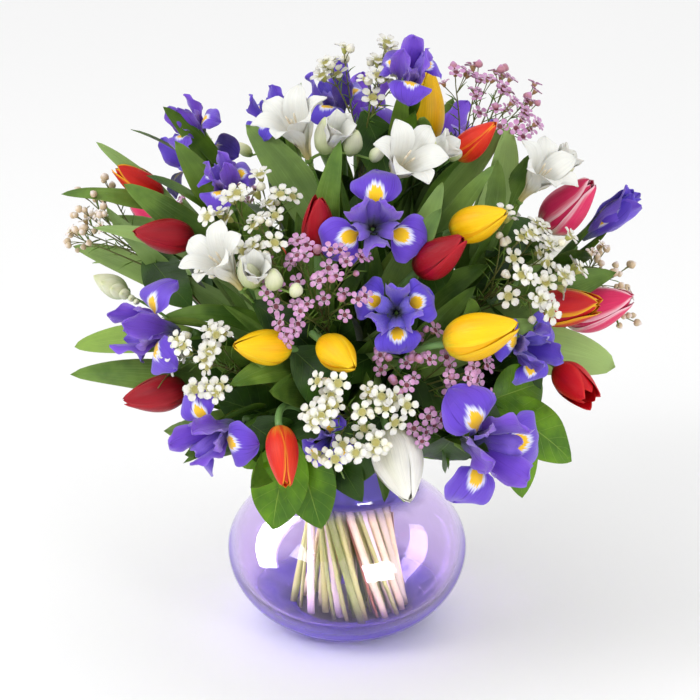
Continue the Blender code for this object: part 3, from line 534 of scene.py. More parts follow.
def tulip_bloom(skin, head, length, spread, girth, seed):
    """Six petals on a pointed egg: r = L (girth sin(pi(.07 + .93 v^.74))^.8 + .009 + spread v^3),
    angle = u*w/r, three outside and three inside turned by a sixth, each drawn to a soft point that
    stands free.  A wide open one shows its anthers and pistil."""
    draw = np.random.default_rng(seed).uniform
    v = np.linspace(0, 1, 22)[:, None]
    u = np.linspace(-1, 1, 13)[None]
    for k in range(6):
        inner = k % 2
        turn = k * math.pi / 3 + draw(-0.09, 0.09)
        tall = length * (1.01 - 0.05 * inner + draw(-0.035, 0.02))
        open_ = spread * (1.0 - 0.5 * inner) * draw(0.6, 1.3)
        egg = girth * np.sin(np.pi * (0.07 + 0.93 * v**0.74)) ** 0.8 + 0.009 + open_ * v**3
        w = length * 1.05 * girth * np.sin(np.pi * (0.12 + 0.88 * v**1.02)) ** 0.8
        r = length * egg
        angle = np.minimum(w / r, 1.02 + 0.1 * inner)
        r = r * (1.035 - 0.085 * inner) - length * 0.012 * u**2 * (1 - v)
        r = r + length * 0.014 * np.exp(-((u / 0.13) ** 2)) * np.sin(np.pi * v) * (1 - 0.5 * inner)
        r = r + length * (0.004 + draw(0.0, 0.022)) * np.clip((v - 0.8) / 0.2, 0, 1) ** 2 * (1 - inner)
        r = r + length * 0.010 * np.sin(v * 8 + seed + k * 2 + np.sign(u)) * np.abs(u) ** 3 * v
        phi = turn + u * angle + 0.10 * np.sin(3 * v + k)
        z = tall * (v + 0.0 * u) - length * 0.04 * u**2 * (1 - v) * v
        points = np.stack(np.broadcast_arrays(r * np.cos(phi), r * np.sin(phi), z), -1)
        skin.sheet(head.put(points), u, v, 0.0, draw(-1, 1), THICK)
    if spread > 0.12:
        for k in range(6):
            a = k * math.pi / 3 + 0.4
            line = [[r * math.cos(a), r * math.sin(a), z] for r, z in ((1.5, 4), (3.5, 20), (3.5, 30))]
            skin.tube(head.put(curve(line, 8)), np.array([0.8, 0.7, 0.7, 0.6, 0.9, 1.4, 1.4, 0.8]), 6, 2.0)
        line = np.array([[0, 0, 2], [0, 0, 12], [0, 0, 24], [0, 0, 27.0]])
        skin.tube(head.put(line), np.array([2.2, 2.2, 2.4, 1.5]), 8, 3.0)


def iris_bloom(skin, head, k, open_, seed):
    """A Dutch iris: three falls whose narrow hafts rise and whose round blades arch out and down,
    three upright standards between them, and three forked style arms over the hafts."""
    draw = np.random.default_rng(seed).uniform

    def tip(v, end):
        return np.clip((1.002 - v) / end, 0.05, 1) ** 0.5

    def fall_width(v):
        blade = np.clip((v - 0.40) / 0.6, 0, 1)
        return k * (4.0 * (1 - blade) + 16.4 * np.sin(np.pi * blade ** 0.92) ** 0.55) * tip(v, 0.03)

    def style_width(v):
        return k * (2.2 + 2.2 * np.sin(np.pi * v**1.4)) * tip(v, 0.15)

    def stand_width(v):
        return k * (2.4 + 7.6 * np.sin(np.pi * v**1.35) ** 0.8) * tip(v, 0.05)

    for j in range(3):
        turn = j * math.tau / 3 + draw(-0.12, 0.12)
        drop = draw(-5, 3)
        o = open_ * draw(0.9, 1.1)
        fall = np.array([(1.5, 12), (5 + 2 * o, 26), (9 + 6 * o, 35), (13 + 12 * o, 39 - o),
                         (15 + 21 * o, 37 - 4 * o + 0.4 * drop), (15 + 27 * o, 31 - 9 * o + drop)]) * k
        petal(skin, head, turn, fall, fall_width, -0.12 + 0.1 * draw(-1, 1), 1.5 * k, 0.0,
              draw(-1, 1), seed + j, (26, 15), PETAL * k, -0.5 * k, draw(-0.22, 0.22))
        style = np.array([(1.0, 14), (4 + 2 * o, 30), (6 + 4 * o, 40), (8 + 6 * o, 45), (9 + 6 * o, 51)]) * k
        for fork in (-1, 1):
            side = head.shifted(np.array([-math.sin(turn), math.cos(turn), 0]) * fork * 2.4 * k)
            petal(skin, side, turn + fork * 0.06, style, style_width, -0.3, 1.0 * k, 2.0, draw(-1, 1),
                  seed + fork, (12, 5), PETAL * k, 0.0, fork * 0.6)
        lean = draw(-3, 5)
        stand = np.array([(2.0, 12), (5 + 2 * o, 29), (7 + 4 * o + lean * 0.5, 44), (8 + 5 * o + lean, 57),
                          (7 + 8 * o + lean, 67)]) * k
        petal(skin, head, turn + math.pi / 3, stand, stand_width, -0.5, 2.2 * k, 1.0, draw(-1, 1),
              seed + 5 + j, (18, 11), PETAL * k, 0.5 * k, draw(-0.6, 0.6))


def iris_bud(skin, head, k, seed):
    """A half-open iris: petals still furled round each other into a spindle."""
    draw = np.random.default_rng(seed).uniform

    def width(v):
        return k * (2.5 + 8.5 * np.sin(np.pi * v ** 1.2) ** 0.8) * np.clip((1.002 - v) / 0.06, 0.05, 1) ** 0.5

    for j in range(6):
        turn = j * math.pi / 3 + draw(-0.1, 0.1)
        out = draw(0.7, 1.2)
        line = np.array([(1.5, 8), (6, 24), (10 * out, 42), (9 * out, 58), (6 + 8 * out * (j % 2), 70)]) * k
        petal(skin, head, turn, line, width, 0.55, 1.6 * k, float(j % 2), draw(-1, 1), seed + j,
              (22, 13), PETAL * k, 0.3 * k, 0.5)


def freesia_bloom(skin, head, k, open_, seed):
    """A funnel of six rounded petals, three outside and three inside, on a slim tube."""
    draw = np.random.default_rng(seed).uniform

    def width(v):
        tube = 1.4 + 2.6 * np.clip(v / 0.5, 0, 1) ** 1.3
        blade = 4.6 * np.sin(np.pi * np.clip((v - 0.3) / 0.7, 0, 1) ** 1.15) ** 0.8
        return k * (tube + blade) * np.clip((1.001 - v) / 0.14, 0.01, 1) ** 0.5

    for j in range(6):
        inner = j % 2
        turn = j * math.pi / 3 + draw(-0.06, 0.06)
        o = open_ * draw(0.85, 1.1)
        line = np.array([
            (1.4, 0), (2.3, 10), (4.6, 20), (7 + 2.5 * o - 1.5 * inner, 31),
            (7.5 + 9 * o - 2 * inner, 41 + inner), (8 + 17 * o - inner, 49 - 6 * o + 2.5 * inner)]) * k
        petal(skin, head, turn, line, width, 0.32, 0.8 * k, 0.0, draw(-1, 1), seed + j, (22, 9),
              PETAL * k, -0.5 * k, draw(-0.3, 0.3))
    if open_ > 0.5:
        for j in range(3):
            a = j * math.tau / 3 + 0.5
            line = [[r * math.cos(a), r * math.sin(a), z] for r, z in ((0, 20), (2, 32), (3.2, 40))]
            line = curve(np.array(line) * k, 7)
            skin.tube(head.put(line), np.array([0.35, 0.35, 0.35, 0.4, 0.8, 0.9, 0.4]) * k, 5, 2.0)


def bud(skin, head, length, radius, part, tone=0.0, sides=12):
    """A closed bud: r = R sin(pi v^.75)^.75, ribbed by three furled petals."""
    v = np.linspace(0, 1, 12)
    a = turns(sides)
    r = radius * (np.sin(np.pi * v ** 0.75) ** 0.75 + 0.12 * (1 - v))
    r = r[:, None] * (1 + 0.06 * np.cos(3 * a[None] + 2.5 * v[:, None]))
    points = np.stack(np.broadcast_arrays(r * np.cos(a), r * np.sin(a), length * v[:, None]), -1)
    skin.loop(head.put(points), np.cos(3 * a)[None], v[:, None], part, tone)


def leaf(skin, line, across, width, fold, wave, tone, seed, n=22, shape=0.8, power=0.62):
    """A blade along line: side*u*w(v) + up*(fold*sqrt(u^2 + .01)*w + wave*sin()*u^2), with
    w = W/2 sin(pi v^shape)^power."""
    line = even(line, n)
    d = rows(np.gradient(line, axis=0))
    side = rows(across - d * (d @ across)[:, None], 1e-9)
    up = np.cross(side, d)
    v = np.linspace(0, 1, n)[:, None]
    w = np.maximum(width / 2 * np.sin(np.pi * v**shape) ** power, width * 0.06 * (1 - v))
    u = np.linspace(-1, 1, 9)[None]
    lift = fold * np.sqrt(u ** 2 + 0.01) * w
    lift = lift + wave * np.sin(v * 14 + seed + u * 2) * np.abs(u) ** 2 * (w / (width / 2))
    points = line[:, None] + (u * w)[..., None] * side[:, None] + lift[..., None] * up[:, None]
    skin.sheet(points, u, v, 0.0, tone, THICK)


def blossom(skin, base, face, radius, seed, tone):
    """A waxflower blossom: five round petals set round the rim of a broad shallow cup."""
    draw = np.random.default_rng(seed).uniform
    head = Head(base, face, draw(0, math.tau))
    v = np.array([0.0, 0.28, 0.72, 1.0])[:, None]
    u = np.linspace(-1, 1, 3)[None]
    w = radius * np.array([0.15, 0.31, 0.31, 0.13])[:, None]
    r = radius * (0.36 + 0.64 * v)
    z = radius * (0.22 + 0.26 * v - 0.16 * v**2) + radius * 0.10 * u ** 2
    for j in range(5):
        a = j * math.tau / 5 + draw(-0.08, 0.08)
        c, s = math.cos(a), math.sin(a)
        points = np.stack([r * c - u * w * s, r * s + u * w * c, z], -1)
        skin.sheet(head.put(points), u, v, 0.0, tone + draw(-0.3, 0.3), 0.6)
    a = turns(7)
    r = radius * np.array([0.07, 0.21, 0.37, 0.39, 0.25])[:, None]
    z = radius * np.array([-0.5, -0.36, 0.10, 0.26, 0.15])[:, None]
    cup = np.stack(np.broadcast_arrays(r * np.cos(a), r * np.sin(a), z), -1)
    skin.loop(head.put(cup), np.cos(a)[None], np.array([0.0, 0.3, 0.6, 0.75, 1.0])[:, None], 1.0, tone)


OPEN_SHARE = {"white": 0.64, "pink": 0.76, "buds": 0.16}    # how many stalks end in a blossom
BLOSSOM = {"white": 8.8, "pink": 6.6, "buds": 6.0}          # radius of a blossom


def wax_sprig(petals, green, face, centre, size, colour, seed, stem, twigs):
    """A waxflower head: side twigs leave the woody stem, fork into thin stalks, and each stalk ends
    in a blossom or a round bud; needle leaves stand along the twigs."""
    rng = np.random.default_rng(seed)
    draw = rng.uniform
    s, t = side_of(face)
    for i in range(twigs):
        a = i * 2.4 + draw(-0.3, 0.3)
        out = size * (8 + 24 * math.sqrt((i + 0.4) / twigs))
        tip = (centre + face * size * (20 - 0.55 * out / size + draw(-5, 5))
               + out * (math.cos(a) * s + math.sin(a) * t))
        root = stem[int(i * (len(stem) - 1) / twigs)]
        line = curve([root, root * 0.45 + tip * 0.55 + face * 3, tip], 9)
        green.tube(line, np.linspace(0.75, 0.45, 9), 6, 1.0)
        way = one(line[-1] - line[-3])
        hs, ht = side_of(way)
        for j in range(5):
            b = j * 2.2 + draw(-0.5, 0.5)
            reach = draw(7, 13) * size
            spread = draw(0.4, 0.95) if j else 0.1
            aim = one(way + spread * (math.cos(b) * hs + math.sin(b) * ht))
            start = line[-1 - (j % 3)]
            end = start + aim * reach
            stalk = np.stack([start, (start + end) / 2 + face * 0.6, end])
            green.tube(stalk, np.array([0.4, 0.35, 0.45]), 5, 1.0)
            if draw() < OPEN_SHARE[colour]:
                look = one(aim + face * 0.5 + draw(-0.3, 0.3, 3))
                full = BLOSSOM[colour] * draw(0.8, 1.1)
                middle = end + look * full * 0.42
                blossom(petals, middle, look, full, rng.integers(1 << 30), draw(-1, 1))
            else:
                small = draw(2.3, 3.4)
                bud(petals, Head(end, aim), small * 2.3, small, 2.0, draw(-1, 1), 7)
        for j in range(8):
            start = line[1 + j % 7]
            b = draw(0, math.tau)
            aim = one(way * 0.8 + math.cos(b) * hs + math.sin(b) * ht)
            tip = start + aim * draw(8, 15)
            needle = np.stack([start, (start + tip) / 2 + way * 0.8, tip])
            green.tube(needle, np.array([0.35, 0.55, 0.12]), 4, 2.0)


# ================ materials
SOFT_RADIUS = (0.004, 0.003, 0.002)   # how far light runs inside a petal, in metres


def lin(r, g, b):
    """A colour given as 0 to 255 screen values, made linear."""
    c = np.array([r, g, b]) / 255.0
    c = np.where(c <= 0.04045, c / 12.92, ((c + 0.055) / 1.055) ** 2.4)
    return (*[float(x) for x in c], 1.0)


class Number:
    """A number that shader nodes work out; the signs of arithmetic add Math nodes to its graph."""

    def __init__(self, graph, socket):
        self.graph, self.socket = graph, socket

    def __add__(self, other):
        return self.graph.math("ADD", self, other)

    def __sub__(self, other):
        return self.graph.math("SUBTRACT", self, other)

    def __rsub__(self, other):
        return self.graph.math("SUBTRACT", other, self)

    def __mul__(self, other):
        return self.graph.math("MULTIPLY", self, other)

    def __truediv__(self, other):
        return self.graph.math("DIVIDE", self, other)

    def __pow__(self, power):
        return self.graph.math("POWER", self, power)

    def __abs__(self):
        return self.graph.math("ABSOLUTE", self)


class Graph:
    """The nodes of one material or world, under short names."""

    def __init__(self, owner):
        self.owner = owner
        owner.use_nodes = True
        self.tree = owner.node_tree

    def feed(self, socket, value):
        value = value.socket if isinstance(value, Number) else value
        if isinstance(value, bpy.types.NodeSocket):
            self.tree.links.new(value, socket)
        else:
            socket.default_value = value

    def dress(self, node, inputs):
        """Feed the inputs of a node, given by name or number."""
        for key, value in dict(inputs).items():
            self.feed(node.inputs[key], value)
        return node

    def node(self, kind, inputs=(), **settings):
        made = self.tree.nodes.new("ShaderNode" + kind)
        for key, value in settings.items():
            setattr(made, key, value)
        return self.dress(made, inputs)

    def math(self, operation, *terms):
        return Number(self, self.node("Math", enumerate(terms), operation=operation).outputs[0])

    def attr(self, name):
        return Number(self, self.node("Attribute", attribute_name=name).outputs["Fac"])

    def marks(self):
        """The four attributes of a Skin: across, along, part and tone."""
        return [self.attr(word) for word in MARKS]

    def ramp(self, value, low, high):
        """0 up to low, 1 from high on, and a smooth step between; low may be the larger one."""
        step = {"Value": value, "From Min": low, "From Max": high}
        return Number(self, self.node("MapRange", step, interpolation_type="SMOOTHSTEP").outputs["Result"])

    def mix(self, share, a, b):
        return self.node("Mix", {0: share, 6: a, 7: b}, data_type="RGBA").outputs[2]

    def by_part(self, *colours):
        """The first colour on part 0, the next on part 1, and so on."""
        made, part = colours[0], self.attr("part")
        for k, colour in enumerate(colours[1:]):
            made = self.mix(self.ramp(part, k + 0.4, k + 0.6), made, colour)
        return made

    def noise(self, place, detail=2.0, rough=0.5):
        """Noise at a place given by three numbers."""
        place = self.node("CombineXYZ", enumerate(place)).outputs[0]
        grain = {"Vector": place, "Scale": 1.0, "Detail": detail, "Roughness": rough}
        return Number(self, self.node("TexNoise", grain).outputs["Fac"])

    def object_noise(self, scale, detail=2.0):
        """Noise of this many grains a metre, fixed to the object."""
        spot = self.node("TexCoord").outputs["Object"]
        grain = {"Vector": spot, "Scale": scale, "Detail": detail, "Roughness": 0.5}
        return Number(self, self.node("TexNoise", grain).outputs["Fac"])

    def brighten(self, colour, value, saturation=1.0):
        change = {"Color": colour, "Value": value, "Saturation": saturation}
        return self.node("HueSaturation", change).outputs[0]

    def plant(self, colour, value, roughness, relief, depth, sheen, soft, specular):
        """Finish a material of plant tissue: colour times value, relief of this depth in metres,
        and sheen, light inside the tissue (soft) and specular level, each the same all over."""
        bump = self.node("Bump", {"Strength": 0.5, "Distance": depth, "Height": relief}).outputs["Normal"]
        self.dress(self.tree.nodes["Principled BSDF"], {
            "Base Color": self.brighten(colour, value), "Roughness": roughness, "Normal": bump,
            "Sheen Weight": sheen, "Specular IOR Level": specular, "Subsurface Weight": soft,
            "Subsurface Radius": SOFT_RADIUS, "Subsurface Scale": 0.5})
        return self.owner


def paint(name):
    return Graph(bpy.data.materials.new(name))


def tulip_paint(name, body, edge, bottom, edge_from, edge_share, streak, streak_share):
    """Petals of one colour with a feathered edge, another colour at the bottom and a streak up
    the middle, all frayed by fibres that run the length of the petal.  The bottom colour is the petal's own,
    and on the red and flame petals it is also darker as painted shade."""
    g = paint("tulip " + name)
    across, along, _, tone = g.marks()
    wide = abs(across)
    fibre = g.noise((across * 9.0, along * 1.6, tone * 7.0), 3.0, 0.6)
    fine = g.noise((across * 38.0, along * 3.0, tone * 9.0), 2.0, 0.6)
    fray = fibre * 0.5 - 0.25
    rim = g.ramp(wide + fray + along**9.0 * 0.55, edge_from, 1.08)
    colour = g.mix(rim * edge_share, lin(*body), lin(*edge))
    # the bottom colour: the petal's own, and on the red and flame tulips also painted shade, darker
    colour = g.mix(g.ramp(along + fray, 0.30, 0.02) * 0.85, colour, lin(*bottom))
    band = g.ramp(wide + fray, 0.42, 0.05) * g.ramp(along, 0.95, 0.5)
    colour = g.mix(band * streak_share, colour, lin(*streak))
    value = fine * 0.44 + tone * 0.08 + g.object_noise(60.0) * 0.24 + 0.66
    return g.plant(colour, value, 0.38, fine + fibre * 0.6, 0.0005, 0.0, 0.1, 0.28)


def iris_paint(name, fall, stand, style):
    """Veined violet petals.  A fall carries a signal: a yellow tongue in a white halo that breaks
    up into the veins, far = sqrt(dx^2 + dy^2) from the middle of the tongue."""
    g = paint("iris " + name)
    across, along, part, tone = g.marks()
    wide = abs(across)
    fibre = g.noise((across * (along * -6.0 + 14.0), along * 1.4, tone * 7.0), 2.5, 0.55)
    fine = g.noise((across * 34.0, along * 4.0, tone), 2.0, 0.6)
    fray = fibre * 0.3 - 0.15
    colour = g.by_part(lin(*fall), lin(*stand), lin(*style))
    colour = g.mix(g.ramp(fibre, 0.56, 0.74) * 0.7, colour, g.brighten(colour, 0.45, 1.1))
    colour = g.mix(g.ramp(along + fray, 0.75, 0.3) * 0.5, colour, g.brighten(colour, 0.55, 1.15))
    colour = g.mix(g.ramp(wide + fray, 0.72, 1.05) * 0.16, colour, lin(168, 150, 232))
    dx = (wide + fine * 0.3 - 0.15) / (along * -0.55 + 0.78)
    dy = (along + fibre * 0.22 - 0.59) / 0.24
    far = g.math("SQRT", dx * dx + dy * dy)
    is_fall = g.ramp(part, 0.6, 0.4)
    colour = g.mix(g.ramp(far, 1.08, 0.72) * is_fall, colour, lin(226, 228, 250))
    tongue = g.mix(fine, lin(255, 216, 20), lin(250, 182, 0))
    colour = g.mix(g.ramp(far, 0.74, 0.60) * is_fall, colour, tongue)
    colour = g.mix(g.ramp(along, 0.30, 0.08) * 0.8, colour, lin(96, 110, 120))
    value = fine * 0.3 + tone * 0.07 + g.object_noise(45.0) * 0.36 + 0.67
    return g.plant(colour, value, 0.55, fine + fibre, 0.0005, 0.35, 0.1, 0.3)


def freesia_paint():
    """White petals, yellow down in the tube; green-white buds; anthers; green cups under them."""
    g = paint("freesia white")
    across, along, _, tone = g.marks()
    fibre = g.noise((across * 10.0, along * 2.0, tone * 7.0), 2.5, 0.55)
    frayed = along + (fibre * 0.24 - 0.12)
    petals = g.mix(g.ramp(frayed, 0.62, 0.1) * 0.85, lin(226, 226, 220), lin(218, 200, 104))
    buds = g.mix(g.ramp(frayed, 0.85, 0.0) * 0.85, lin(226, 228, 196), lin(138, 164, 66))
    buds = g.mix(g.ramp(frayed, 0.82, 1.0) * 0.5, buds, lin(196, 208, 130))
    colour = g.by_part(petals, buds, lin(226, 214, 190), lin(96, 132, 48))
    value = fibre * 0.22 + tone * 0.03 + 0.87
    return g.plant(colour, value, 0.42, fibre, 0.0004, 0.1, 0.15, 0.4)


def wax_paint(name, petal, heart, cup, back, bud):
    """Petals; the cup they stand on, coloured from its back over its rim (heart) to its inside;
    round buds."""
    g = paint("waxflower " + name)
    _, along, _, tone = g.marks()
    petal, heart = lin(*petal), lin(*heart)
    grain = g.object_noise(900.0)
    petals = g.mix(g.ramp(along, 0.5, 0.0) * 0.7, petal, heart)
    cups = g.mix(g.ramp(along, 0.55, 0.75), lin(*back), heart)
    cups = g.mix(g.ramp(along, 0.78, 0.95), cups, lin(*cup))
    buds = g.mix(g.ramp(along, 0.55, 0.95), lin(*bud), petal)
    value = grain * 0.3 + tone * 0.07 + 0.85
    return g.plant(g.by_part(petals, cups, buds), value, 0.4, grain, 0.0002, 0.1, 0.1, 0.45)


def stem_paint(name, low, high, twig, needle):
    """Ribbed stems: pale, yellow-green or green at the cut end in the vase, by their tone, and
    fresh green above it; woody twigs; needle leaves.  The pale cut ends are partly the stems' own colour and
    partly painted light, for the light that reaches them through the glass."""
    g = paint("stem " + name)
    across, along, _, tone = g.marks()
    twig = lin(*twig)
    streaks = g.noise((across * 6.0, along * 5.0, 0.0))
    blotch = g.object_noise(38.0, 3.0)
    cut_end_and_painted_light = g.mix(g.ramp(tone, -1.0, -0.6), lin(92, 120, 30), lin(190, 200, 112))
    # the pale cut end: partly the stem's own colour, partly painted light for the light that reaches it
    # through the glass
    cut_end_and_painted_light = g.mix(g.ramp(tone, -0.4, 0.2), cut_end_and_painted_light, lin(*low))
    stems = g.mix(g.ramp(along + (blotch * 0.2 - 0.1), 0.22, 0.55), cut_end_and_painted_light, lin(*high))
    colour = g.by_part(stems, g.mix(blotch, twig, g.brighten(twig, 1.5)), lin(*needle))
    value = streaks * 0.35 + blotch * 0.3 + 0.67
    return g.plant(colour, value, 0.42, streaks, 0.0002, 0.0, 0.05, 0.45)


def leaf_paint(name, body, pale, dark, broad):
    """Parallel veins on the narrow leaves; a pale midrib and side veins on the broad ones."""
    g = paint("leaf " + name)
    across, along, _, tone = g.marks()
    wide = abs(across)
    if broad:
        ribs = g.math("PINGPONG", along * 8.0 - wide**0.8 * 1.7, 0.5)
        vein = g.math("MAXIMUM", g.ramp(ribs, 0.035, 0.0) * 0.7, g.ramp(wide, 0.035, 0.008))
        net = g.noise((across * 12.0, along * 26.0, tone), 3.0, 0.6)
        relief, vein_share, pale_share = net * 0.7 - vein, 0.34, 0.0
    else:
        net = g.noise((across * 22.0, along * 2.2, tone), 2.0, 0.6)
        vein = g.ramp(net, 0.55, 0.8)
        relief, vein_share, pale_share = net, 0.26, 0.62
    colour = g.mix(g.ramp(g.object_noise(40.0, 3.0), 0.3, 0.7), lin(*body), lin(*dark))
    colour = g.mix(g.ramp(tone, 0.0, 1.0) * pale_share, colour, lin(*pale))
    colour = g.mix(vein * vein_share, colour, lin(*pale))
    value = net * 0.3 + tone * 0.14 + 0.85
    return g.plant(colour, value, net * 0.2 + 0.34, relief, 0.0005, 0.0, 0.08, 0.32)


def glass_paint():
    """Lilac glass: deeper the more of it light crosses; the collar carries a denser violet that is
    partly milky.  The outer face of the heavy base, the lower sides and the silhouette of the lower bowl
    carry painted shade: a deeper violet, partly milky, for the colour light takes on through the thick glass."""
    g = paint("glass lilac")
    spot = g.node("TexCoord").outputs["Object"]
    height = Number(g, g.node("SeparateXYZ", {"Vector": spot}).outputs["Z"])
    outside = g.ramp(g.attr("along"), 0.47, 0.46)
    collar = g.ramp(height, 0.112, 0.122) * g.ramp(height, 0.1515, 0.146)
    # painted shade: a deeper, partly milky violet on the outer face of the heavy base, for light through the
    # thick glass
    painted_base_shade = g.ramp(height, 0.036, 0.016) * outside
    # painted shade: a violet tint on the lower outer sides of the bowl, for light bent through the thick base
    painted_side_shade = g.ramp(height, 0.074, 0.028) * outside
    # painted shade: where the lower bowl turns away from the view it takes a deeper, milky violet
    facing_away = Number(g, g.node("LayerWeight", {"Blend": 0.5}).outputs["Facing"])
    edge = g.ramp(facing_away, 0.45, 0.82) * (g.ramp(height, 0.106, 0.072) * outside)
    # lighter and darker patches within that painted shade of the base
    base_shade_patches = g.ramp(g.object_noise(22.0, 1.0), 0.45, 0.7)
    colour = g.mix(painted_side_shade * 0.4, lin(247, 239, 254), lin(190, 150, 236))
    colour = g.mix(painted_base_shade * 0.9, colour, g.mix(base_shade_patches, lin(104, 84, 204), lin(50, 32, 158)))
    colour = g.mix(collar * 0.9, colour, lin(96, 76, 198))
    colour = g.mix(edge * 0.9, colour, lin(114, 86, 206))
    # the milky share: the collar's own milkiness, and painted shade on the base and the silhouette
    milk_and_painted_shade = g.math("MAXIMUM", painted_base_shade**2.0 * 0.72 + collar * 0.42, edge * 0.72)
    g.dress(g.tree.nodes["Principled BSDF"], {
        "Base Color": colour, "Transmission Weight": 1.0 - milk_and_painted_shade, "Roughness": 0.0, "IOR": 1.48,
        "Specular IOR Level": 0.13})
    depth = g.node("VolumeAbsorption", {"Color": (0.48, 0.22, 0.88, 1.0), "Density": 32.0})
    g.feed(g.tree.nodes["Material Output"].inputs["Volume"], depth.outputs[0])
    return g.owner


def paints(make, table):
    """One material for each row of a table: its name, and the colours and shares of its maker."""
    return {name: make(name.replace("_", " "), *row) for name, row in table.items()}


# the third colour of a row is the bottom: on crimson, scarlet and flame it is darker as painted shade
TULIP_PAINT = paints(tulip_paint, {
    "crimson": ((158, 8, 28), (198, 30, 44), (96, 4, 20), 0.7, 0.5, (120, 4, 20), 0.5),
    "scarlet": ((206, 14, 30), (232, 50, 40), (150, 20, 16), 0.7, 0.5, (176, 8, 20), 0.5),
    "orange": ((222, 50, 26), (248, 160, 36), (236, 150, 50), 0.80, 0.75, (206, 30, 24), 0.7),
    "flame": ((206, 30, 16), (252, 180, 30), (150, 20, 16), 0.74, 0.95, (180, 14, 14), 0.7),
    "flame_wide": ((206, 34, 34), (252, 190, 24), (252, 190, 24), 0.62, 0.95, (176, 14, 40), 0.8),
    "yellow": ((250, 194, 8), (253, 214, 40), (206, 190, 40), 0.7, 0.6, (240, 160, 6), 0.45),
    "pink": ((218, 44, 98), (252, 200, 212), (238, 226, 200), 0.62, 0.9, (196, 20, 78), 0.5),
    "white": ((244, 242, 230), (246, 246, 238), (210, 216, 156), 0.7, 0.6, (214, 214, 190), 0.6)})
IRIS_PAINT = paints(iris_paint, {
    "violet": ((98, 60, 196), (118, 74, 206), (148, 116, 228)),
    "blue": ((88, 62, 200), (106, 76, 210), (136, 118, 232))})
FREESIA_PAINT = {"white": freesia_paint()}
WAX_PAINT = paints(wax_paint, {
    "white": ((226, 224, 217), (214, 212, 158), (172, 164, 90), (176, 178, 92), (226, 222, 196)),
    "pink": ((196, 140, 186), (224, 190, 212), (112, 44, 60), (156, 122, 84), (182, 122, 138)),
    "buds": ((232, 220, 214), (226, 214, 170), (150, 112, 80), (160, 134, 84), (204, 182, 148))})
# the first colour is the cut end; its pale tulip, iris and freesia values are partly painted light
STEM_PAINT = paints(stem_paint, {
    "tulip": ((255, 244, 222), (112, 152, 84), (110, 130, 60), (90, 130, 60)),
    "iris": ((246, 236, 176), (88, 124, 56), (110, 130, 60), (90, 130, 60)),
    "freesia": ((250, 222, 200), (104, 146, 60), (110, 140, 60), (90, 130, 60)),
    "waxflower": ((176, 120, 84), (112, 98, 62), (96, 100, 48), (98, 132, 40)),
    "salal": ((150, 116, 70), (104, 110, 50), (110, 120, 50), (98, 132, 40))})
LEAF_PAINT = paints(leaf_paint, {
    "tulip": ((106, 140, 52), (170, 198, 124), (64, 98, 28), False),
    "iris": ((92, 128, 34), (152, 182, 82), (50, 84, 16), False),
    "salal": ((100, 148, 8), (170, 200, 80), (60, 104, 6), True),
    "dark": ((52, 88, 18), (110, 140, 60), (26, 54, 10), True)})


# ================ the vase
ARC = 26                   # points along each stretch of the section
SEGMENTS = 120             # and round the vase


def vase_line():
    """Half section of the glass, (radius, height), as part of its sweep: two ellipse arcs, a collar,
    the rim and back down; the inside is the outside moved in by the thickness of the wall."""
    low = BELLY_HEIGHT / math.sqrt(1 - (FOOT_RADIUS / BELLY_RADIUS) ** 2)
    high = (NECK_START - BELLY_HEIGHT) / math.sqrt(1 - (NECK_RADIUS / BELLY_RADIUS) ** 2)
    z = BELLY_HEIGHT * (1 - np.cos(np.linspace(0.12, math.pi / 2, ARC)))
    lower = np.column_stack([BELLY_RADIUS * np.sqrt(1 - ((BELLY_HEIGHT - z) / low) ** 2), z])
    lower[:, 1] -= lower[0, 1] * np.linspace(1, 0, ARC)
    z = BELLY_HEIGHT + (NECK_START - 3.5 - BELLY_HEIGHT) * np.sin(np.linspace(0.05, math.pi / 2, ARC))
    upper = np.column_stack([BELLY_RADIUS * np.sqrt(1 - ((z - BELLY_HEIGHT) / high) ** 2), z])
    r = NECK_RADIUS
    neck = curve([upper[-1], (r + 1.6, NECK_START + 0.4), (r - 0.2, NECK_START + 6), (r - 0.6, 138),
                  (r - 0.3, 147), (r, RIM_HEIGHT - 2.2)], ARC)[1:]
    a, lip = np.linspace(0, math.pi, 9), WALL / 2
    rim = np.column_stack([r - lip + lip * np.cos(a), RIM_HEIGHT - lip + lip * np.sin(a)])
    down = np.column_stack([neck[::-1, 0] - WALL, neck[::-1, 1]])[1:]

    def moved_in(arc, thick):
        slope = np.gradient(arc, axis=0)[::-1]
        return arc[::-1] - rows(np.column_stack([slope[:, 1], -slope[:, 0]])) * thick

    wall = moved_in(lower, WALL + 0.3 + np.linspace(0, 1, ARC)[:, None] ** 1.5 * 7)
    wall = wall[wall[:, 1] > FLOOR_THICKNESS + 5]
    turn, floor = wall[-1, 0], FLOOR_THICKNESS
    bowl = curve([wall[-1], (turn - 5, floor + 1.6), (turn - 13, floor), (turn - 26, floor), (22, floor),
                  (3, floor)], 24)[1:]
    r = FOOT_RADIUS
    foot = np.array([(3.0, 0.0), (r * 0.6, 0.0), (r - 2.5, 0.0), (r - 0.6, 0.25)])
    shoulder = moved_in(upper, WALL + 0.3)[1:]
    return np.concatenate([foot, lower, upper[1:], neck, rim[1:-1], down, shoulder, wall, bowl])


line = vase_line()
a = turns(SEGMENTS)
r, z = line[:, :1], line[:, 1:]
glass = Skin()
glass.loop(np.stack(np.broadcast_arrays(r * np.cos(a), r * np.sin(a), z), -1), np.cos(a)[None],
           np.linspace(0, 1, len(line))[:, None])
glass.build("glass_vase", glass_paint(), ("vase",), "vase_glass")

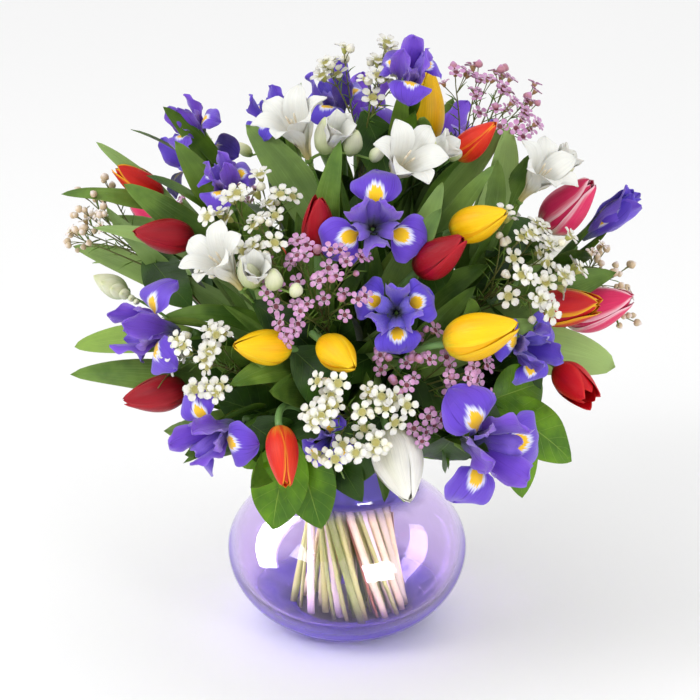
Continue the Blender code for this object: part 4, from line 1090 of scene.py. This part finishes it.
# ================ the bouquet
ROLL = {           # turn of an iris about the way it faces, in degrees
    "iris_centre": 90, "iris_centre_low": 30, "iris_low_right": 122, "iris_low_left": 118, "iris_left": 92,
    "iris_right": 275, "iris_low_small": 90, "iris_top_right": 20}
SPREAD = {         # how far the tips of a tulip stand apart
    "tulip_red_low_right": 0.22, "tulip_flame_left": 0.10, "tulip_flame_right": 0.08, "tulip_pink_far": 0.05,
    "tulip_orange_low": 0.05, "tulip_back_flame": 0.08}
SCALE = {          # length of a tulip against the room it has, and how stout it is
    "tulip_white_low": (0.98, 0.29), "tulip_pink_right": (0.94, 0.27), "tulip_yellow_right": (0.92, 0.28),
    "tulip_red_low_right": (0.78, 0.28), "tulip_flame_left": (0.84, 0.22), "tulip_red_centre": (0.9, 0.225),
    "tulip_orange_top": (0.86, 0.22), "tulip_orange_low": (0.84, 0.23), "tulip_yellow_front": (0.8, 0.28),
    "tulip_pink_far": (0.95, 0.27), "tulip_yellow_top": (1.0, 0.24)}
SPRIG = {          # twigs of a waxflower head, and its spread against the room it has
    "wax_white_low_left": (6, 0.85), "wax_white_low": (9, 0.8), "wax_white_top": (6, 0.9),
    "wax_white_left": (8, 1.0), "wax_white_right": (8, 0.9), "wax_buds_left": (9, 0.76),
    "wax_buds_right": (8, 0.82), "wax_pink_low": (10, 0.95), "wax_pink_centre": (10, 1.0),
    "wax_pink_top": (9, 1.0)}
TURNED = {         # heads nodding off the line of their stem: azimuth and tilt they face
    "tulip_yellow_front": (-58, 98), "iris_centre": (-87, 64), "iris_centre_low": (-93, 68),
    "tulip_white_low": (-72, 124)}
OPEN = {           # how far an iris is open, 0.8 where it isn't said; under 0.4 it is a bud
    "iris_centre": 1.0, "iris_low_right": 1.0, "iris_left": 0.9, "iris_low_left": 0.9, "iris_centre_low": 0.7,
    "iris_right": 0.6, "iris_low_small": 0.7, "iris_top_right": 0.5, "iris_top_left": 0.55,
    "iris_upper_left": 0.5, "iris_top_mid_left": 0.55, "iris_top": 0.5, "iris_far_right": 0.3}
MORE = {           # further leaves of a stem: azimuth, tilt and reach of the tip, width
    "tulip_flame_left": ((-171, 40, 302, 13), (-175, 50, 290, 15)), "iris_top_left": ((-172, 29, 293, 18),),
    "iris_upper_left": ((-152, 31, 283, 28),), "tulip_red_left": ((-157, 41, 278, 26),),
    "tulip_red_centre": ((-95, 22, 259, 22),), "iris_top_right": ((-59, 16, 297, 16), (-59, 20, 287, 20)),
    "tulip_orange_top": ((-27, 28, 283, 30),), "tulip_yellow_upper": ((-41, 32, 273, 16),),
    "tulip_red_right": ((-62, 33, 273, 22),), "tulip_pink_right": ((-32, 47, 248, 20),),
    "iris_far_right": ((-15, 53, 243, 15), (-13, 57, 244, 15)), "tulip_flame_right": ((-19, 74, 228, 42),),
    "iris_left": ((-164, 71, 232, 23), (-125, 59, 213, 30)),
    "tulip_red_low_left": ((-142, 82, 179, 34), (-130, 84, 190, 36)),
    "tulip_yellow_left": ((-111, 60, 229, 26), (-106, 66, 222, 34)),
    "freesia_top_left": ((-147, 20, 266, 34),), "iris_right": ((-59, 50, 227, 24),),
    "tulip_yellow_front": ((-94, 66, 209, 30), (-84, 70, 214, 32)),
    "wax_white_right": ((-37, 55, 226, 34),), "tulip_yellow_top": ((-38, 22, 267, 22),),
    "freesia_right": ((-30, 30, 262, 30), (-26, 28, 286, 34), (-20, 33, 272, 26), (-48, 38, 252, 26)),
    "wax_buds_left": ((-168, 46, 262, 20), (178, 58, 256, 21)), "iris_low_left": ((-112, 88, 190, 34),),
    "iris_low_right": ((-48, 84, 206, 34),), "tulip_yellow_right": ((-44, 58, 232, 28),),
    "wax_white_left": ((-124, 34, 256, 26),), "tulip_back_red": ((50, 30, 268, 30),),
    "tulip_back_yellow": ((110, 24, 268, 28),), "tulip_back_pink": ((160, 66, 244, 34),),
    "tulip_back_white": ((40, 78, 226, 34),)}
SALAL = {          # where the tips of the broad leaves hang, and how wide the leaves are
    "salal_front": [((-56, -150, 146), 45), ((-19, -158, 150), 44), ((-84, -128, 196), 38)],
    "salal_right": [((172, -112, 186), 46), ((132, -150, 172), 44), ((150, -84, 240), 40)]}
PAINT = {"tulip": TULIP_PAINT, "iris": IRIS_PAINT, "freesia": FREESIA_PAINT, "waxflower": WAX_PAINT}
LEAF_COUNT = {"tulip": 3, "iris": 2, "freesia": 1, "wax": 0, "salal": 2}
SEED = 2000                # seeds of the blooms count on from here
BEND = 7                   # last spans of a stem, which a nodding head bends
SHEATH = ((-24, 2.5), (-4, 5), (14, 6), (30, 7))    # up and out, along a sheath under an iris
BED = ("kind", "path", "foot", "face", "half", "middle")


def broad_leaf(skin, start, tip, width, draw):
    """A leathery leaf on a short stalk, arched, with its upper face turned out and up."""
    way = tip - start
    out = one(start + tip - 2 * CROWN) + np.array([0, -0.15, 0.35])
    across = one(np.cross(way, out))
    up = one(np.cross(across, way))
    low = start + way * 0.33 + up * draw(2, 7)
    line = curve([start, low, start + way * 0.7 + up * draw(2, 8), tip], 20)
    leaf(skin, line, across, width, draw(0.08, 0.25), 0.9, draw(-1, 1), draw(0, 6), 20,
         0.88, 0.8)


def facing(start, tip, across, forward=0.0):
    """The width direction of a leaf, swung so that its face looks out of the bouquet."""
    out = 0.5 * (start + tip) - CROWN + np.array([0, -forward, 20.0])
    best = one(np.cross(tip - start, out))
    return one(best + 0.45 * across * np.sign(across @ best + 1e-9))


def join(path, tip, away, lowest):
    """Which point of a stem lies this far from the tip of a leaf, above a lowest height."""
    far = np.linalg.norm(path - tip, axis=1)
    return int(np.argmin(np.abs(far - away) + (path[:, 2] < lowest) * 99))


def long_leaf(skin, start, along, tip, across, width, fold, tone, seed, power=0.62):
    """A narrow leaf that leaves its stem along it and bows out to its tip."""
    leaf(skin, leaf_line(start, one(along), tip, 24), across, width, fold, 1.1, tone, seed, power=power)


def freesia_spray(bloom, green, base, face, size, closed, seed, draw):
    """A freesia: its stem bends over into a comb, with two blooms unless it is closed, and buds
    that get smaller along it, each in a green cup."""
    s, t = side_of(face)

    def at_head(out, over, up):
        return base + (face * out + s * over + t * up) * size

    comb = curve([base, at_head(8, 0, 0), at_head(15, 13, 3), at_head(15, 32, 7), at_head(11, 50, 9)], 24)
    green.tube(comb, np.linspace(1.4, 0.8, 24), 7, 1.0)
    tops = [(at_head(7, 0, 0), face, 1.0, 1), (at_head(13, 13, 3), face * 0.8 + s * 0.6 + t * 0.1, 0.8, 0.3)]
    for at, aim, big, open_ in [] if closed else tops:
        aim = one(aim)
        freesia_bloom(bloom, Head(at, aim, draw(0, 1)), size * big, open_, seed + int(big * 9))
        bud(bloom, Head(at - aim * 1.5, aim), 7 * size, 2.6 * size, 3.0)
    buds, first, step, longest, less = (6, 5, 4, 44, 8) if closed else (3, 12, 5, 31, 7)
    for j in range(buds):
        at = comb[min(23, first + j * step - (j > 2))]
        aim = one(face * (0.9 - 0.1 * j) + s * (0.25 + 0.22 * j) + t * 0.12)
        long = (longest - less * j) * size
        bud(bloom, Head(at, aim), max(long, 8), max(long, 8) * 0.22 + 0.5, 1.0, draw(-1, 1))
        bud(bloom, Head(at - aim, aim), 6.5 * size, max(2.2 * size, long * 0.13), 3.0)


bed = settle()
leaves = place_leaves(bed)
for k, (name, az, tilt, reach, _, _, size, colour) in enumerate(HEADS):
    rng = np.random.default_rng(1000 + k)
    draw = rng.uniform
    kind, path, foot, face, half, centre = (bed[word][k] for word in BED)
    plant = "waxflower" if kind == "wax" else kind
    base = path[STEPS]
    roll = math.radians(ROLL.get(name, draw(255, 285)))
    if name in TURNED:
        arm = half if kind == "tulip" else 38 * size
        middle = base + face * arm
        face = unit(*TURNED[name])
        base = middle - face * arm
        start = path[STEPS - BEND]
        path = path.copy()
        stops = [start, 0.5 * (start + base) - 4 * face, base - 12 * face, base]
        path[STEPS - BEND:] = curve(stops, BEND + 1)
    head = Head(base, face, roll)
    bloom, green, blades, broad = Skin(), Skin(), Skin(), Skin()

    # the stem
    line = rounded(np.concatenate([foot[None], 0.5 * foot[None] + 0.5 * path[:1], path]))
    thin = STEM_RADIUS[kind] * np.linspace(1.02, 0.86, len(line))
    if kind == "iris":
        thin[-4:] *= np.array([1.05, 1.3, 1.5, 1.2])
    elif kind == "tulip":
        tall, girth = SCALE.get(name, (0.88, 0.26))
        head.base = base + face * half * (1 - tall)
        line, thin = np.concatenate([line, [head.base + face * 2]]), np.append(thin, 3.0)
    else:
        thin *= np.linspace(1.0, 0.6, len(line))
    green.tube(line, thin, 12 if kind in ("tulip", "iris") else 8, 0.0, draw(-1, 1), CUT_END)

    # the bloom
    if kind == "tulip":
        tulip_bloom(bloom, head, 2 * half * tall, SPREAD.get(name, draw(-0.01, 0.05)), girth, SEED + k)
    elif kind == "iris":
        open_ = OPEN.get(name, 0.8)
        if open_ < 0.4:
            iris_bud(bloom, head, 0.92 * size, SEED + k)
        else:
            iris_bloom(bloom, head, 0.92 * size, open_, SEED + k)
        for j in (-1, 1):  # the two papery green sheaths under the bloom
            stops = [base + face * up * size + head.x * j * out for up, out in SHEATH]
            leaf(blades, curve(stops, 12), head.y, 13 * size, 0.7, 0.2, draw(-1, 1), k, 14)
    elif kind == "freesia":
        freesia_spray(bloom, green, base, face, size, name == "freesia_buds_left", SEED + k, draw)
    elif kind == "wax":
        twigs, spread = SPRIG.get(name, (9, 1.0))
        wax_sprig(bloom, green, face, centre, size * spread, colour, SEED + k, path[STEPS - BEND:], twigs)
    else:
        for tip, wide in SALAL[name]:
            broad_leaf(broad, base + (np.array(tip) - base) * 0.06, np.array(tip, float), wide, draw)

    # its leaves: the ones found room for, the further ones, and some of its own
    for _, at, tip, width, across in [row for row in leaves if row[0] == k]:
        across = facing(path[at], tip, across)
        long_leaf(blades, path[at], path[at + 1] - path[at - 1], tip, across, width * 1.05, 0.26,
                  draw(-1, 1), k)
    for tip_az, tip_tilt, tip_reach, wide in MORE.get(name, ()):
        tip = CROWN + tip_reach * unit(tip_az, tip_tilt)
        at = join(path, tip, min(118, 62 + 2.2 * wide), 165)
        along = 0.5 * (path[min(STEPS, at + 1)] - path[at - 1]) + 0.15 * (tip - path[at])
        across = facing(path[at], tip, draw(-0.4, 0.4, 3), 150.0 if tip[1] < 40 else 0.0)
        long_leaf(blades, path[at], along, tip, across, wide, 0.22, draw(-0.2, 1), k,
                  0.5 if wide > 38 else 0.62)
    for j in range(LEAF_COUNT[kind]):
        at = int(rng.integers(7, 14))
        far = reach * draw(0.70, 0.90)
        tip = CROWN + far * unit(az + draw(-24, 24), tilt + draw(-16, 16))
        across = facing(path[at], tip, draw(-1, 1, 3))
        wide = draw(20, 34) if kind == "tulip" else draw(11, 18)
        long_leaf(blades, path[at], path[at + 1] - path[at - 1], tip, across, wide, 0.26,
                  draw(-1, 1), k + j)
    for j in range((2 if tilt > 50 else 1) + (az > 20) * 2):
        if j:
            tip = draw(84, 132) * unit(az + draw(-22, 22), 90)
            tip = tip + np.array([0, 0, draw(172, 250)])
        else:
            far = reach * draw(0.60, 0.80)
            tip = CROWN + far * unit(az + draw(-20, 20), tilt + draw(-12, 18))
        at = join(path, tip, draw(58, 76), 160)
        broad_leaf(broad, path[at], tip, draw(32, 44), draw)

    if bloom.count:
        bloom.build(name + "_bloom", PAINT[plant][colour], (name,), plant + "_" + colour.replace("_wide", ""))
    green.build(name + "_stem", STEM_PAINT[plant], () if bloom.count else (name,), "leaf_green")
    narrow = kind if kind in ("iris", "salal") else "tulip"
    blades.build(name + "_leaves", LEAF_PAINT[narrow], (), "leaf_green")
    broad.build(name + "_foliage", LEAF_PAINT["salal" if kind == "salal" else "dark"], (), "leaf_green")

# ================ table, light and camera
TABLE = 6.0                # half side of the table top, in metres
DIM = 0.91                 # strength of the white room as light; where it is seen it is 1
SIGHT = (0.0024, 0.0, 0.236)    # point the camera looks at
DISTANCE = 2.0             # from there to the camera, in metres
ELEVATION = 20.0           # of the camera above that point, in degrees

white = paint("table white")
white.dress(white.tree.nodes["Principled BSDF"], {"Base Color": (0.96, 0.96, 0.96, 1.0), "Roughness": 0.6})
mesh = bpy.data.meshes.new("table")
corners = [(x * TABLE, y * TABLE, 0) for x, y in ((-1, -1), (1, -1), (1, 1), (-1, 1))]
mesh.from_pydata(corners, [], [(0, 1, 2, 3)])
mesh.materials.append(white.owner)
show("table", mesh)

# the room: white where the camera, a reflection or the glass sees it, a little less as light
studio = Graph(bpy.data.worlds.new("studio"))
bpy.context.scene.world = studio.owner
rays = studio.node("LightPath").outputs
seen = rays["Is Camera Ray"]
for ray in ("Is Glossy Ray", "Is Transmission Ray"):
    seen = studio.math("MAXIMUM", seen, rays[ray])
back = studio.tree.nodes["Background"]
studio.dress(back, {"Color": (1, 1, 1, 1), "Strength": seen * (1 - DIM) + DIM})


def soft_light(name, place, wide, tall, energy, target=(0, 0, 0.28), upright=(0, 0, 1)):
    """A rectangular light that faces target, its tall side along upright."""
    data = bpy.data.lights.new(name, "AREA")
    data.shape = "RECTANGLE"
    data.size, data.size_y, data.energy = wide, tall, energy
    z = one(np.array(place, float) - np.array(target))
    x = one(np.cross(upright, z))
    turn = np.eye(4)
    turn[:3] = np.column_stack([x, np.cross(z, x), z, place])
    light = show(name, data)
    light.matrix_world = turn.T
    return light


soft_light("key", (-1.45, -1.15, 1.75), 0.9, 0.9, 20.0)
soft_light("fill", (1.2, -1.5, 0.75), 0.6, 0.6, 7.5)

# two windows that gleam on the glass alone
gleams = bpy.data.collections.new("gleams")
gleams.objects.link(bpy.data.objects["glass_vase"])
middle = (0, 0, 0.07)
for window in (
        soft_light("window left", (-1.38, 0.20, 0.88), 0.72, 2.3, 240.0, middle, (0.50, 0.58, 0.65)),
        soft_light("window square", (1.22, -2.08, 0.84), 1.2, 1.45, 200.0, middle)):
    window.light_linking.receiver_collection = gleams
    window.visible_diffuse = False

lens = bpy.data.cameras.new("camera")
lens.lens, lens.sensor_width = 128.57, 36.0
camera = show("camera", lens)
up = math.radians(ELEVATION)
camera.location = np.array(SIGHT) + DISTANCE * np.array([0.0, -math.cos(up), math.sin(up)])
camera.rotation_euler = (math.radians(90 - ELEVATION), 0, 0)
bpy.context.scene.camera = camera
bpy.context.scene.view_settings.view_transform = "Standard"
